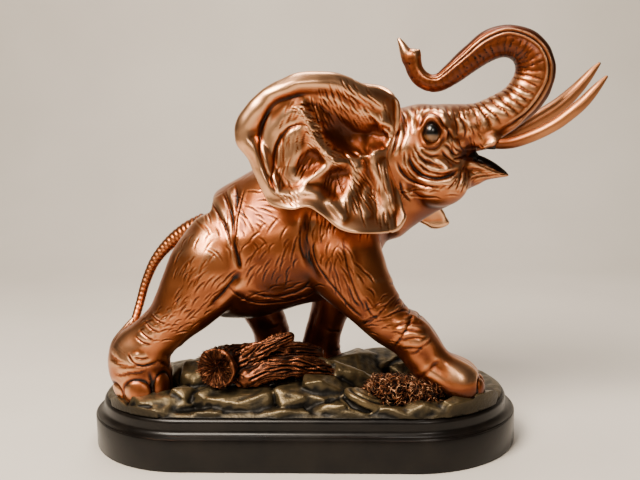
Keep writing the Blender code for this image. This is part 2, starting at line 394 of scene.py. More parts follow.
class Skin:
    """A surface being carved: its points in mm, its faces, and its patina."""

    def __init__(self, points: np.ndarray, faces: np.ndarray) -> None:
        """Takes a closed surface.

        Args:
            points: its points in mm, one row each.
            faces: its quads.
        """
        self.points = np.asarray(points, float)
        self.faces = np.asarray(faces, int)
        ends = np.concatenate([self.faces[:, [i, (i + 1) % 4]] for i in range(4)])
        ends = np.sort(ends[ends[:, 0] != ends[:, 1]], axis=1)
        self.edges = np.unique(ends, axis=0)
        self.degree = np.bincount(self.edges.ravel(), minlength=len(self.points)).astype(float)
        self.height = np.zeros(len(self.points))
        self.patina = np.zeros(len(self.points))

    def spread_mean(self, values: np.ndarray) -> np.ndarray:
        """Evens values out over the surface by one step.

        Args:
            values: one value or one row for each point.

        Returns:
            The mean of each point's neighbours.
        """
        a, b = self.edges.T
        total = np.empty_like(values)
        columns = values.reshape(len(values), -1)
        out = total.reshape(len(values), -1)
        for k in range(columns.shape[1]):
            out[:, k] = np.bincount(a, columns[b, k], len(values))
            out[:, k] += np.bincount(b, columns[a, k], len(values))
        return (out / np.maximum(self.degree, 1)[:, None]).reshape(values.shape)

    def relax(self, passes: int, share: np.ndarray | float = 0.5) -> None:
        """Evens the surface out.

        Args:
            passes: how many rounds.
            share: how far each point moves towards its neighbours' mean, one for all or each.
        """
        share = np.broadcast_to(np.asarray(share, float), len(self.points))[:, None]
        for _ in range(passes):
            self.points += share * (self.spread_mean(self.points) - self.points)

    def normals(self) -> np.ndarray:
        """Works out which way the surface faces.

        Returns:
            The outward direction at each point.
        """
        corner = self.points[self.faces]
        facing = np.cross(corner[:, 2] - corner[:, 0], corner[:, 3] - corner[:, 1])
        total = np.zeros_like(self.points)
        for k in range(3):
            for c in range(4):
                total[:, k] += np.bincount(self.faces[:, c], facing[:, k], len(self.points))
        return unit(total)

    def side_chart(self, side: Side, low: float = 0.12, high: float = 0.4) -> Chart:
        """Charts what faces one side by its x and z.

        Args:
            side: which side.
            low: how squarely a place has to face that side to be taken in.
            high: how squarely it faces it where it has full weight.

        Returns:
            The chart, with x as u and z as v.
        """
        facing = self.normals()[:, 1] * side.value
        index = np.flatnonzero(facing > low)
        weight = smooth_step(facing[index], low, high)
        return Chart(index, self.points[index, 0], self.points[index, 2], weight)

    def limb_chart(
        self, limb: Limb, first: float, last: float, reach: float = 1.5, scale: float = 12.0
    ) -> Chart:
        """Returns the chart of length along a limb and of turn about it.

        Args:
            limb: the limb that the skin follows there.
            first: where along the limb the chart starts, in mm.
            last: where it ends.
            reach: how many half widths out from the limb's middle it takes in.
            scale: the half width in mm at which v is a true length.

        Returns:
            The chart, with v as the way round from the limb's upper line.
        """
        runs = limb.runs()
        margin = runs[:, 3:].max() * 1.6
        low, high = runs[:, :3].min(0) - margin, runs[:, :3].max(0) + margin
        inside = np.flatnonzero(((self.points > low) & (self.points < high)).all(axis=1))
        length, turn, out = limb.place(self.points[inside])
        keep = (length > first) & (length < last) & (out < reach)
        ends = np.minimum(length[keep] - first, last - length[keep])
        weight = smooth_step(ends, 0.0, 4.0) * smooth_step(reach - out[keep], 0.0, 0.25)
        return Chart(inside[keep], length[keep], turn[keep] * scale, weight)

    def carve(self, chart: Chart, folds: Iterable[Fold]) -> None:
        """Adds folds to the heights that raise_relief will apply."""
        for fold in folds:
            fold.carve(chart, self.height)

    def raise_relief(self) -> None:
        """Moves each point out by its height and starts the heights afresh."""
        self.points += self.normals() * self.height[:, None]
        self.height[:] = 0

    def age(self, fine: float = 1.0, broad: float = 1.0) -> None:
        """Works out the patina from how hollow the surface is, finely and broadly.

        Args:
            fine: the weight of narrow creases.
            broad: the weight of wide hollows.
        """
        normals = self.normals()
        kept = self.points.copy()
        hollow = np.zeros(len(kept))
        for passes, weight, scale, most in ((3, fine, 0.14, 0.95), (25, broad, 0.9, 1.2)):
            self.relax(passes)
            hollow += weight * np.clip(((self.points - kept) * normals).sum(1) / scale, -0.5, most)
        self.points = kept
        hollow = 0.5 * (hollow + self.spread_mean(hollow))
        self.patina = np.clip(0.2 + 0.42 * hollow, 0.0, 1.0)


def noise(points: np.ndarray, size: float, seed: int, octaves: int = 2) -> np.ndarray:
    """Returns soft noise between about -1 and 1.

    Args:
        points: places in mm.
        size: the width of one swelling in mm.
        seed: which noise.
        octaves: how many times finer detail is laid over it.

    Returns:
        One value for each point.
    """
    rng = np.random.default_rng(seed)
    total = np.zeros(len(points))
    for octave in range(octaves):
        for _ in range(7):
            way = unit(rng.normal(size=3)) * 2 * np.pi / (size * rng.uniform(1.2, 2.4)) * 2**octave
            total += np.sin(points @ way + rng.uniform(0, 2 * np.pi)) / 2.6 / 2**octave
    return total / 1.3


def new_object(name: str, data: bpy.types.ID) -> bpy.types.Object:
    """Shows a mesh, a light or a camera in the scene.

    Args:
        name: the object's name.
        data: what it shows.

    Returns:
        The object.
    """
    made = bpy.data.objects.new(name, data)
    bpy.context.scene.collection.objects.link(made)
    return made


def mesh_of(name: str, points: np.ndarray, faces: list[tuple[int, ...]]) -> bpy.types.Mesh:
    """Makes a smooth mesh.

    Args:
        name: the mesh's name.
        points: its points in mm.
        faces: its faces, by the numbers of their points.

    Returns:
        The mesh.
    """
    mesh = bpy.data.meshes.new(name)
    mesh.from_pydata((points * MM).tolist(), [], faces)
    mesh.shade_smooth()
    mesh.update()
    return mesh


def evaluated(obj: bpy.types.Object) -> bpy.types.Mesh:
    """Works out what an object's modifiers make, and clears them.

    Args:
        obj: the object.

    Returns:
        The plain mesh.
    """
    bpy.context.view_layer.update()
    graph = bpy.context.evaluated_depsgraph_get()
    mesh = bpy.data.meshes.new_from_object(obj.evaluated_get(graph))
    obj.modifiers.clear()
    return mesh


def close_up(obj: bpy.types.Object) -> None:
    """Merges an object's doubled points and turns its faces outward.

    Args:
        obj: the object.
    """
    shape = bmesh.new()
    shape.from_mesh(obj.data)
    bmesh.ops.remove_doubles(shape, verts=shape.verts, dist=1e-6)
    bmesh.ops.recalc_face_normals(shape, faces=shape.faces)
    shape.to_mesh(obj.data)
    shape.free()
    obj.data.shade_smooth()


def joined(shapes: list) -> tuple[np.ndarray, list[tuple[int, ...]]]:
    """Puts several closed shapes side by side in one mesh.

    Args:
        shapes: limbs, masses, stones or slabs.

    Returns:
        The points and faces of them all.
    """
    points, faces, count = [], [], 0
    for shape in shapes:
        own_points, own_faces = shape.mesh()
        points.append(own_points)
        faces += [tuple(i + count for i in face) for face in own_faces]
        count += len(own_points)
    return np.vstack(points), faces


def fused(shapes: list, voxel: float) -> Skin:
    """Joins closed shapes into one skin.

    Args:
        shapes: limbs and masses that overlap each other.
        voxel: the distance between the skin's points in mm.

    Returns:
        The skin of quads round all of them.
    """
    obj = new_object("fusing", mesh_of("fusing", *joined(shapes)))
    remesh = obj.modifiers.new("fuse", "REMESH")
    remesh.mode = "VOXEL"
    remesh.voxel_size = voxel * MM
    mesh = evaluated(obj)
    flat = np.empty(len(mesh.vertices) * 3)
    mesh.vertices.foreach_get("co", flat)
    corners = np.empty(len(mesh.loops), int)
    mesh.loops.foreach_get("vertex_index", corners)
    bpy.data.objects.remove(obj)
    return Skin(flat.reshape(-1, 3) / MM, corners.reshape(-1, 4))


def thinned(obj: bpy.types.Object) -> None:
    """Brings an object's mesh under the most triangles that a piece may have.

    Args:
        obj: the object.
    """
    count = sum(len(face.vertices) - 2 for face in obj.data.polygons)
    if count <= MOST_TRIANGLES:
        return
    modifier = obj.modifiers.new("thin", "DECIMATE")
    modifier.ratio = MOST_TRIANGLES / count
    obj.data = evaluated(obj)
    obj.data.shade_smooth()


def store(mesh: bpy.types.Mesh, name: str, values: np.ndarray) -> None:
    """Keeps one number for each of a mesh's points under a name."""
    mesh.attributes.new(name, "FLOAT", "POINT").data.foreach_set("value", values.astype(np.float32))


def skin_object(name: str, skin: Skin) -> bpy.types.Object:
    """Makes an object of a skin, with its patina as an attribute.

    Args:
        name: the object's name.
        skin: the skin.

    Returns:
        The object.
    """
    mesh = mesh_of(name, skin.points, skin.faces.tolist())
    store(mesh, "patina", skin.patina)
    obj = new_object(name, mesh)
    thinned(obj)
    obj.data.name = name
    return obj


def dress(obj: bpy.types.Object, material: bpy.types.Material) -> None:
    """Gives an object one finish."""
    obj.data.materials.clear()
    obj.data.materials.append(material)


def seat(obj: bpy.types.Object) -> bpy.types.Object:
    """Seats a finished piece of the casting: parents it to the body it rides on, hides the casting node it
    stands for and logs its faces.

    Args:
        obj: the piece.

    Returns:
        The piece.
    """
    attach(obj, BODY)
    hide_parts(CASTING)
    LOG.info("%s: %d faces", obj.name, len(obj.data.polygons))
    return obj


def finished(name: str, skin: Skin, material: bpy.types.Material) -> bpy.types.Object:
    """Makes, dresses and seats a piece of a skin.

    Args:
        name: the piece's name.
        skin: its surface.
        material: its finish.

    Returns:
        The piece.
    """
    obj = skin_object(name, skin)
    dress(obj, material)
    return seat(obj)


# ---------------------------------------------------------------- nodes and finishes


def linear(colour: str) -> tuple[float, float, float, float]:
    """Reads an sRGB hex colour.

    Args:
        colour: a hash and six hex digits.

    Returns:
        Its linear values, with full alpha.
    """
    parts = [int(colour[i : i + 2], 16) / 255 for i in (1, 3, 5)]
    made = [p / 12.92 if p <= 0.04045 else ((p + 0.055) / 1.055) ** 2.4 for p in parts]
    return (*made, 1.0)


def feed(tree: bpy.types.NodeTree, node: bpy.types.Node, inputs: dict) -> None:
    """Sets a node's inputs.

    Args:
        tree: the tree that the node is in.
        node: the node.
        inputs: by input name or number, a value, an output socket, or a node whose first output feeds it.
    """
    for key, value in inputs.items():
        source = value.outputs[0] if isinstance(value, bpy.types.Node) else value
        if isinstance(source, bpy.types.NodeSocket):
            tree.links.new(source, node.inputs[key])
        else:
            node.inputs[key].default_value = source


def add_node(tree: bpy.types.NodeTree, kind: str, inputs: dict | None = None, **settings) -> bpy.types.Node:
    """Adds a node to a tree.

    Args:
        tree: the tree it goes in.
        kind: the node's type name.
        inputs: what feeds its inputs, as feed() takes it.
        **settings: the node's own properties.

    Returns:
        The node.
    """
    node = tree.nodes.new(kind)
    for key, value in settings.items():
        setattr(node, key, value)
    feed(tree, node, inputs or {})
    return node


def set_ramp(node: bpy.types.Node, stops: tuple[tuple[float, str], ...]) -> bpy.types.NodeSocket:
    """Gives a colour ramp its stops.

    Args:
        node: the ramp's node.
        stops: places from 0 to 1, each with its colour.

    Returns:
        The ramp's colour output.
    """
    ramp = node.color_ramp
    while len(ramp.elements) < len(stops):
        ramp.elements.new(1.0)
    for element, (place, colour) in zip(ramp.elements, stops):
        element.position = place
        element.color = linear(colour)
    return node.outputs["Color"]


def new_material(
    name: str,
) -> tuple[bpy.types.Material, bpy.types.NodeTree, bpy.types.Node, bpy.types.NodeSocket]:
    """Starts a material.

    Args:
        name: the material's name.

    Returns:
        The material, its tree, its shader and the place in object space.
    """
    material = bpy.data.materials.new(name)
    material.use_nodes = True
    tree = material.node_tree
    place = add_node(tree, "ShaderNodeTexCoord").outputs["Object"]
    return material, tree, tree.nodes["Principled BSDF"], place


@dataclass(frozen=True)
class PatinaFinish:
    """A toned metal finish that follows the patina attribute, from bright (0) to dark (1).

    Attributes:
        stops: the colours along the patina.
        drift: how far soft clouds shift the patina either way, and cloud_mm their width.
        grain: the strength of the surface's fine unevenness, and grain_mm its width.
        gloss: the roughness where the finish is bright, and where it is dark.
        coat: how much clear lacquer lies over it, which pales its highlights.
    """

    name: str
    stops: tuple[tuple[float, str], ...]
    drift: float
    cloud_mm: float
    grain: float
    grain_mm: float
    gloss: tuple[float, float]
    metallic: float
    coat: float = 0.0

    def material(self) -> bpy.types.Material:
        """Makes the finish.

        Returns:
            The material.
        """
        material, tree, shader, place = new_material(self.name)
        patina = add_node(tree, "ShaderNodeAttribute", attribute_name="patina").outputs["Fac"]
        cloud = add_node(
            tree, "ShaderNodeTexNoise", {"Vector": place, "Scale": PER_METRE / self.cloud_mm, "Detail": 4.0}
        )
        shift = add_node(
            tree, "ShaderNodeMath", {0: cloud, 1: 2 * self.drift, 2: -self.drift}, operation="MULTIPLY_ADD"
        )
        tone = add_node(tree, "ShaderNodeMath", {0: patina, 1: shift}, operation="ADD")
        grain = add_node(
            tree, "ShaderNodeTexNoise", {"Vector": place, "Scale": PER_METRE / self.grain_mm, "Detail": 2.0}
        )
        rough = add_node(
            tree, "ShaderNodeMapRange", {0: tone, 1: 0.1, 2: 0.95, 3: self.gloss[0], 4: self.gloss[1]}
        )
        feed(tree, shader, {
            "Base Color": set_ramp(add_node(tree, "ShaderNodeValToRGB", {"Fac": tone}), self.stops),
            "Roughness": rough, "Metallic": self.metallic, "Coat Weight": self.coat, "Coat Roughness": 0.26,
            "Normal": add_node(tree, "ShaderNodeBump", {
                "Height": grain, "Strength": self.grain, "Distance": self.grain_mm * MM,
            }),
        })
        material.diffuse_color = linear(self.stops[1][1])
        return material


@dataclass(frozen=True)
class PlatedCopper(PatinaFinish):
    """Copper electroplated on cast resin and toned with a brown patina, then lacquered.

    Plating gives a bright, soft-edged metal gloss; the patina is wiped off what stands proud and
    stays dark in what is hollow.
    """

    name: str = "electroplated_copper"
    stops: tuple[tuple[float, str], ...] = (
        (0.0, "#E4AA7C"), (0.2, "#AE6537"), (0.43, "#6C3212"), (0.85, "#150A04"),
    )
    drift: float = 0.14
    cloud_mm: float = 20.0
    grain: float = 0.05
    grain_mm: float = 0.9
    gloss: tuple[float, float] = (0.31, 0.62)
    metallic: float = 1.0
    coat: float = 0.3


@dataclass(frozen=True)
class BronzeWash(PatinaFinish):
    """The same cast resin in a dark bronze wash, dry-brushed where it stands proud.

    The wash gives a low satin sheen, nearly black in the hollows, and the brush leaves olive
    glints along edges only.
    """

    name: str = "dark_bronze_wash"
    stops: tuple[tuple[float, str], ...] = (
        (0.06, "#7C6848"), (0.26, "#53462E"), (0.5, "#383021"), (0.85, "#0F0C07"),
    )
    drift: float = 0.16
    cloud_mm: float = 14.0
    grain: float = 0.16
    grain_mm: float = 1.6
    gloss: tuple[float, float] = (0.33, 0.5)
    metallic: float = 0.75


@dataclass(frozen=True)
class BrushedBark(PatinaFinish):
    """Black-brown bark and grass with copper dry-brushed on their tips: dark, with sharp glints."""

    name: str = "copper_brushed_bark"
    stops: tuple[tuple[float, str], ...] = (
        (0.0, "#C07A50"), (0.2, "#6A3C24"), (0.42, "#2C180E"), (0.8, "#090504"),
    )
    drift: float = 0.12
    cloud_mm: float = 12.0
    grain: float = 0.2
    grain_mm: float = 1.0
    gloss: tuple[float, float] = (0.34, 0.55)
    metallic: float = 0.95


@dataclass(frozen=True)
class BlackLacquer:
    """Black satin lacquer sprayed on a moulded base: deep, even, with a faint orange-peel."""

    name: str = "satin_black_lacquer"
    black: str = "#090706"
    worn: str = "#15110D"
    roughness: tuple[float, float] = (0.27, 0.35)
    cloud_mm: float = 18.0
    peel_mm: float = 2.4

    def material(self) -> bpy.types.Material:
        """Makes the finish.

        Returns:
            The material.
        """
        material, tree, shader, place = new_material(self.name)
        cloud = add_node(
            tree, "ShaderNodeTexNoise", {"Vector": place, "Scale": PER_METRE / self.cloud_mm, "Detail": 4.0}
        )
        tint = add_node(tree, "ShaderNodeValToRGB", {"Fac": cloud})
        low, high = self.roughness
        peel = add_node(
            tree, "ShaderNodeTexNoise", {"Vector": place, "Scale": PER_METRE / self.peel_mm, "Detail": 1.0}
        )
        feed(tree, shader, {
            "Base Color": set_ramp(tint, ((0.35, self.black), (0.75, self.worn))),
            "Roughness": add_node(tree, "ShaderNodeMapRange", {0: cloud, 1: 0.3, 2: 0.7, 3: low, 4: high}),
            "Normal": add_node(tree, "ShaderNodeBump", {
                "Height": peel, "Strength": 0.06, "Distance": 0.3 * MM,
            }),
            "Specular IOR Level": 0.17, "Coat Weight": 0.08, "Coat Roughness": 0.12,
        })
        return material


@dataclass(frozen=True)
class GlossyEye:
    """Gloss black enamel over the plated eyeball: a hard, wet-looking shine on near black."""

    name: str = "gloss_black_enamel"
    black: str = "#050403"
    bronze: str = "#6E4A26"
    turn_mm: float = 1.0

    def material(self) -> bpy.types.Material:
        """Makes the finish, bronze showing through where it thins towards the lower lid.

        Returns:
            The material.
        """
        material, tree, shader, place = new_material(self.name)
        height = add_node(tree, "ShaderNodeSeparateXYZ", {0: place}).outputs["Z"]
        low = EYE_CENTRE[2] - self.turn_mm
        share = add_node(tree, "ShaderNodeMapRange", {
            0: height, 1: (low - 1.6) * MM, 2: (low + 1.2) * MM, 3: 0.0, 4: 1.0,
        })
        tint = add_node(tree, "ShaderNodeValToRGB", {"Fac": share})
        feed(tree, shader, {
            "Base Color": set_ramp(tint, ((0.1, self.bronze), (0.7, self.black))),
            "Metallic": 0.35, "Roughness": 0.3, "Coat Weight": 0.6, "Coat Roughness": 0.03,
        })
        return material


# ---------------------------------------------------------------- the elephant's body


@dataclass(frozen=True)
class Swell:
    """A broad rise or dip on a chart: its middle, half sizes, height in mm and turn in degrees."""

    centre: tuple[float, float]
    half: tuple[float, float]
    height: float
    turn: float = 0.0

    def reach(self, u: np.ndarray, v: np.ndarray) -> np.ndarray:
        """Returns how far places are from the middle, squared, in half sizes."""
        along, across = turned(u - self.centre[0], v - self.centre[1], -self.turn)
        return (along / self.half[0]) ** 2 + (across / self.half[1]) ** 2

    def carve(self, chart: Chart, height: np.ndarray) -> None:
        """Adds the rise to a skin's heights."""
        np.add.at(height, chart.index, self.height * np.exp(-self.reach(chart.u, chart.v)) * chart.weight)


@dataclass(frozen=True)
class PaintedLightPatch:
    """A soft patch, in the side view, made darker or paler than its hollows alone make it: painted shade
    where its shift is positive, a painted highlight where it is negative.
    """

    shift: float
    centre: tuple[float, float]
    half: tuple[float, float]
    power: int = 4
    near_only: bool = False

    def over(self, x: np.ndarray, y: np.ndarray, z: np.ndarray) -> np.ndarray:
        """Works out how the patch changes the patina.

        Args:
            x: places along the animal, in mm.
            y: how far across they are.
            z: their heights.

        Returns:
            The change at each place.
        """
        away = ((x - self.centre[0]) / self.half[0]) ** self.power
        away += ((z - self.centre[1]) / self.half[1]) ** self.power
        return self.shift * np.exp(-away) * (y < (0 if self.near_only else np.inf))


EYE_CENTRE = (84.9, -21.6, 202.2)
EYE_HALF = (5.3, 5.4, 6.4)

TORSO = Limb((
    (-68, 0, 123, 13, 14), (-60, 0, 122, 31, 32), (-45, 0, 122, 42.5, 42), (-18, 0, 133, 47, 45),
    (10, 0, 144, 49, 43), (32, 0, 155, 39, 37), (48, 0, 163, 27, 28),
))
NECK = Limb(((22, 0, 166, 36, 32), (48, 0, 183, 32, 28), (74, 0, 193, 26, 26), (92, 0, 199, 18, 20)))
THROAT = Limb((
    (56, 0, 156, 24, 22), (72, 0, 163, 20, 18), (84, 0, 166, 17.5, 14), (94, 0, 167.5, 14, 12),
    (104, 0, 171, 9, 10),
))
LOWER_JAW = Limb((
    (94, 0, 174, 12, 14), (106, 0, 174, 10, 11), (113.5, 0, 174.4, 8.2, 9.4), (120.5, 0, 175, 5.2, 7.4),
    (128, 0, 174.2, 2.6, 5.2), (134.4, 0, 173.4, 1.2, 2.6),
))
TONGUE = Limb(((104, 2, 181, 6, 6), (114, 2, 182.5, 4.6, 6), (124, 2, 179, 3.4, 5), (133, 1, 174.8, 1.4, 3)))
LIP = Limb((
    (103, -9.5, 179, 4, 3.6), (110, -9, 181.2, 2.6, 2.4), (114, -8.2, 180.4, 2.2, 2.2),
    (120.2, -6.4, 178.5, 2, 2), (128.3, -3.8, 175, 1.6, 1.7), (134.6, -0.8, 173.6, 0.9, 1.1),
), 6, 24)
SHEATH = Limb((
    (106, -7, 199.5, 6, 6), (114, -8.5, 198, 6.6, 6.6), (121, -10.5, 196.6, 6.2, 6.2),
    (125.5, -12.4, 195.9, 5.7, 5.7),
), 6, 24, 0.3)
TRUNK = Limb((
    (92, 0, 203, 17, 19), (106, 0, 204.5, 15, 17), (119, 0, 207, 13.8, 15.5), (131, 0, 213, 13.2, 14.5),
    (142.5, 0, 221.5, 12.8, 13), (151, 0, 237, 12.8, 12.8), (147, 0, 251, 11.8, 11.8),
    (134, 0, 257.5, 10.6, 10.5), (121, 0, 254, 9.8, 9.6), (109, 0, 245.5, 8.2, 8.2), (99, 0, 238, 7, 7),
    (90, 0, 232.5, 6.2, 6.2), (82, 0, 234, 5.9, 5.8), (76.3, 0, 240, 5.4, 5.3), (74.6, 0, 246, 5.6, 5.4),
    (74.2, 0, 249, 5.7, 5.5),
))
FINGERS = (
    Limb((
        (72, 0, 247, 4.2, 5), (69.9, 0, 252.4, 3.5, 4.3), (67.9, 0, 256.6, 2.7, 3.2),
        (65.8, 0, 260.2, 1.3, 1.7),
    )),
    Limb(((76.6, 0, 246.5, 3.4, 4.6), (77.6, 0, 251, 2.4, 3.8), (78.2, 0, 253, 1.2, 2.6))),
)
NEAR_HIND_LEG = Limb((
    (-46, -20, 132, 26, 22), (-56, -26, 117, 27, 22), (-68, -30, 101, 22, 19), (-81, -31, 86, 16.5, 17),
    (-94, -31, 74, 16, 15.5), (-102.5, -31, 64, 19.5, 16.5), (-102, -31, 54, 19.5, 17),
    (-99.5, -31, 44, 18, 18), (-98, -31, 36, 16, 18), (-97.5, -31, 31, 15, 17.5),
))
FAR_HIND_LEG = Limb((
    (-45, 20, 125, 28, 22), (-40, 26, 104, 22, 19), (-32, 28, 84, 15.5, 16), (-25, 29, 66, 13, 14),
    (-23, 29, 50, 13.5, 14.5), (-22, 29, 40, 16, 16), (-22, 29, 32, 16.5, 16.5),
))
TAIL_TUFT = Limb((
    (-109, -18, 84, 2.6, 2.6), (-112.5, -25, 78, 4, 4.4), (-116, -31, 71.5, 4.8, 5),
    (-118, -35, 66.5, 3.4, 3.6), (-117.6, -37, 63, 1, 1.2),
), 8, 28)
NEAR_FORE_LEG = Limb((
    (16, -18, 150, 28, 22), (28, -26, 126, 27, 21), (42, -31, 105, 20, 18), (56, -33, 87, 15, 16),
    (71, -34, 76, 14.2, 15), (79, -34, 66, 14, 14.5), (86.5, -34, 57, 13, 14.5),
    (95, -33.5, 50.5, 14.2, 16), (101, -33, 43, 15.4, 16.2), (101, -32, 34, 12.8, 13.5),
), bluntness=0.4)
FAR_FORE_LEG = Limb((
    (22, 18, 130, 30, 20), (22, 25, 108, 23, 18), (20, 28, 88, 15.5, 16), (15, 29, 72, 12.5, 13.5),
    (11, 29, 58, 12.8, 13.5), (10, 29, 46, 14.5, 15), (11, 29, 38, 16.5, 16.5), (11, 29, 32, 17, 17),
))
LEGS = (NEAR_HIND_LEG, FAR_HIND_LEG, NEAR_FORE_LEG, FAR_FORE_LEG)
HEAD = Mass((81, 0, 197), (28, 26, 23))

# Lines of the face, on the chart of x and z: lids and bags round the eye, brow, jowl, lips and temple.
FACE_FOLDS = (
    Fold(((75, 203), (77, 209.5), (82, 213.4), (87.5, 213.6), (92, 211)), 0.6, 0.5, 0.2, 0.5, 3),
    Fold(((77.5, 197.5), (79.5, 194), (84.5, 192), (89, 193), (92, 196.5)), 0.42, 0.52, 0.2, 0.7, 2),
    *creases((0.46, 0.52, 0.2, 0.6, 2.2),
        ((76, 198), (78.5, 192), (84.5, 188), (90.5, 188.5)), ((94.5, 167), (98, 170.5), (101.5, 175.5)),
        ((93.5, 202.5), (96.5, 201.5), (99, 196.5)), ((97, 198), (98.5, 193), (103, 189.5)),
        ((102, 197.5), (103, 193), (106, 190)),
    ),
    Fold(((73, 197), (76, 190), (81.5, 185), (88.5, 182), (94, 179.5)), 0.54, 0.73, 0.2, 0.9, 2.2),
    Fold(((72.5, 193.5), (74.5, 186.5), (79, 181.5), (86, 178), (92, 176.5)), 0.54, 0.69, 0.2, 0.7, 2.2),
    Fold(((71, 193), (71.5, 185), (75, 179), (81, 175), (88.5, 174), (98, 176.5), (102, 180)),
         1.3, 1.7, 0.2, 2.2, 4.5),
    Fold(((76, 186), (80, 180.5), (86, 177), (94, 177), (100, 179.5)), 0.45, 0.6, 0.2, 0.8, 2.4),
    Fold(((94.5, 198), (97, 194), (98, 190), (100, 187.5)), 0.42, 0.5, 0.2, 0.7, 2),
    Fold(((112, 183.5), (118, 180), (125, 176.8), (131, 174.5)), 0.45, 0.5, 0.2, 0.6, 2),
    Fold(((109, 172), (114, 173.5), (120, 174), (126, 173.5)), 0.5, 0.6, 0.2, 0.5, 2),
    Fold(((110.5, 187.5), (116, 191.5), (125.5, 197), (132, 201.5), (139.5, 207), (145.5, 214)),
         1.3, -1.5, 0),
    Fold(((68, 192.5), (68.5, 184), (72, 177), (76.5, 174)), 0.5, 0.65, 0.2, 0.6, 2.2),
    Fold(((63.5, 186.5), (66, 179), (72.5, 172.5), (82.5, 169), (91.5, 169)), 0.69, 0.77, 0.2, 1.5, 4),
    Fold(((72.5, 166.5), (76.5, 163.5), (81.5, 162), (88.5, 162.5)), 0.46, 0.48, 0.2, 0.6, 2.2),
    Fold(((65, 173), (67.5, 165), (72.5, 159)), 0.58, 0.6, 0.2, 0.6, 2.2),
    Fold(((103.5, 179.5), (103, 173.5), (99.5, 166)), 0.54, 0.65, 0.2, 0.6, 2.2),
    *creases((0.5, 0.6, 0.2, 0.6, 2.2),
        ((106, 179), (105.5, 172), (103, 163.5)),
        ((97.5, 216.5), (99.5, 210.5), (101, 204.5), (100.5, 200)),
        ((101.5, 215.5), (104, 209.5), (106, 203.5), (105.5, 197.5)),
        ((92, 195.5), (95.5, 193), (97.5, 189.5), (101, 187)),
        ((90.5, 192), (94, 187.5), (100, 183.5), (103, 183)),
    ),
    Fold(((108.5, 177.5), (107.5, 170.5), (106, 166)), 0.5, 0.52, 0.2, 0.6, 2.2),
    Fold(((61, 220), (62, 211), (64, 202.5), (62, 193.5), (60, 188)), 0.73, 0.9, 0.2, 0.6, 2.2),
    Fold(((64.5, 219.5), (67, 212.5), (69, 204), (66.5, 196), (64.5, 189)), 0.61, 0.73, 0.2, 0.6, 2.2),
    Fold(((67, 219), (70, 213), (72, 205), (72, 200.5)), 0.58, 0.69, 0.2, 0.6, 2.2),
    *creases((0.5, 0.34, 0.2, 0.6, 2.2),
        ((72, 218), (74.5, 214.5), (75.5, 209)), ((93.5, 218), (95.5, 213), (97.5, 209)),
    ),
    *creases((0.46, 0.34, 0.2, 0.6, 2.2),
        ((78, 218.5), (77, 213.5), (75.5, 209)), ((82, 219), (80.5, 215), (79, 212.5)),
        ((85, 219), (84.5, 214.5)), ((89, 219), (89.5, 214), (92, 210.5)),
    ),
    Fold(((98, 185.5), (101, 186), (106, 187), (109, 188)), 0.58, 0.77, 0.2, 0.6, 2.2),
)

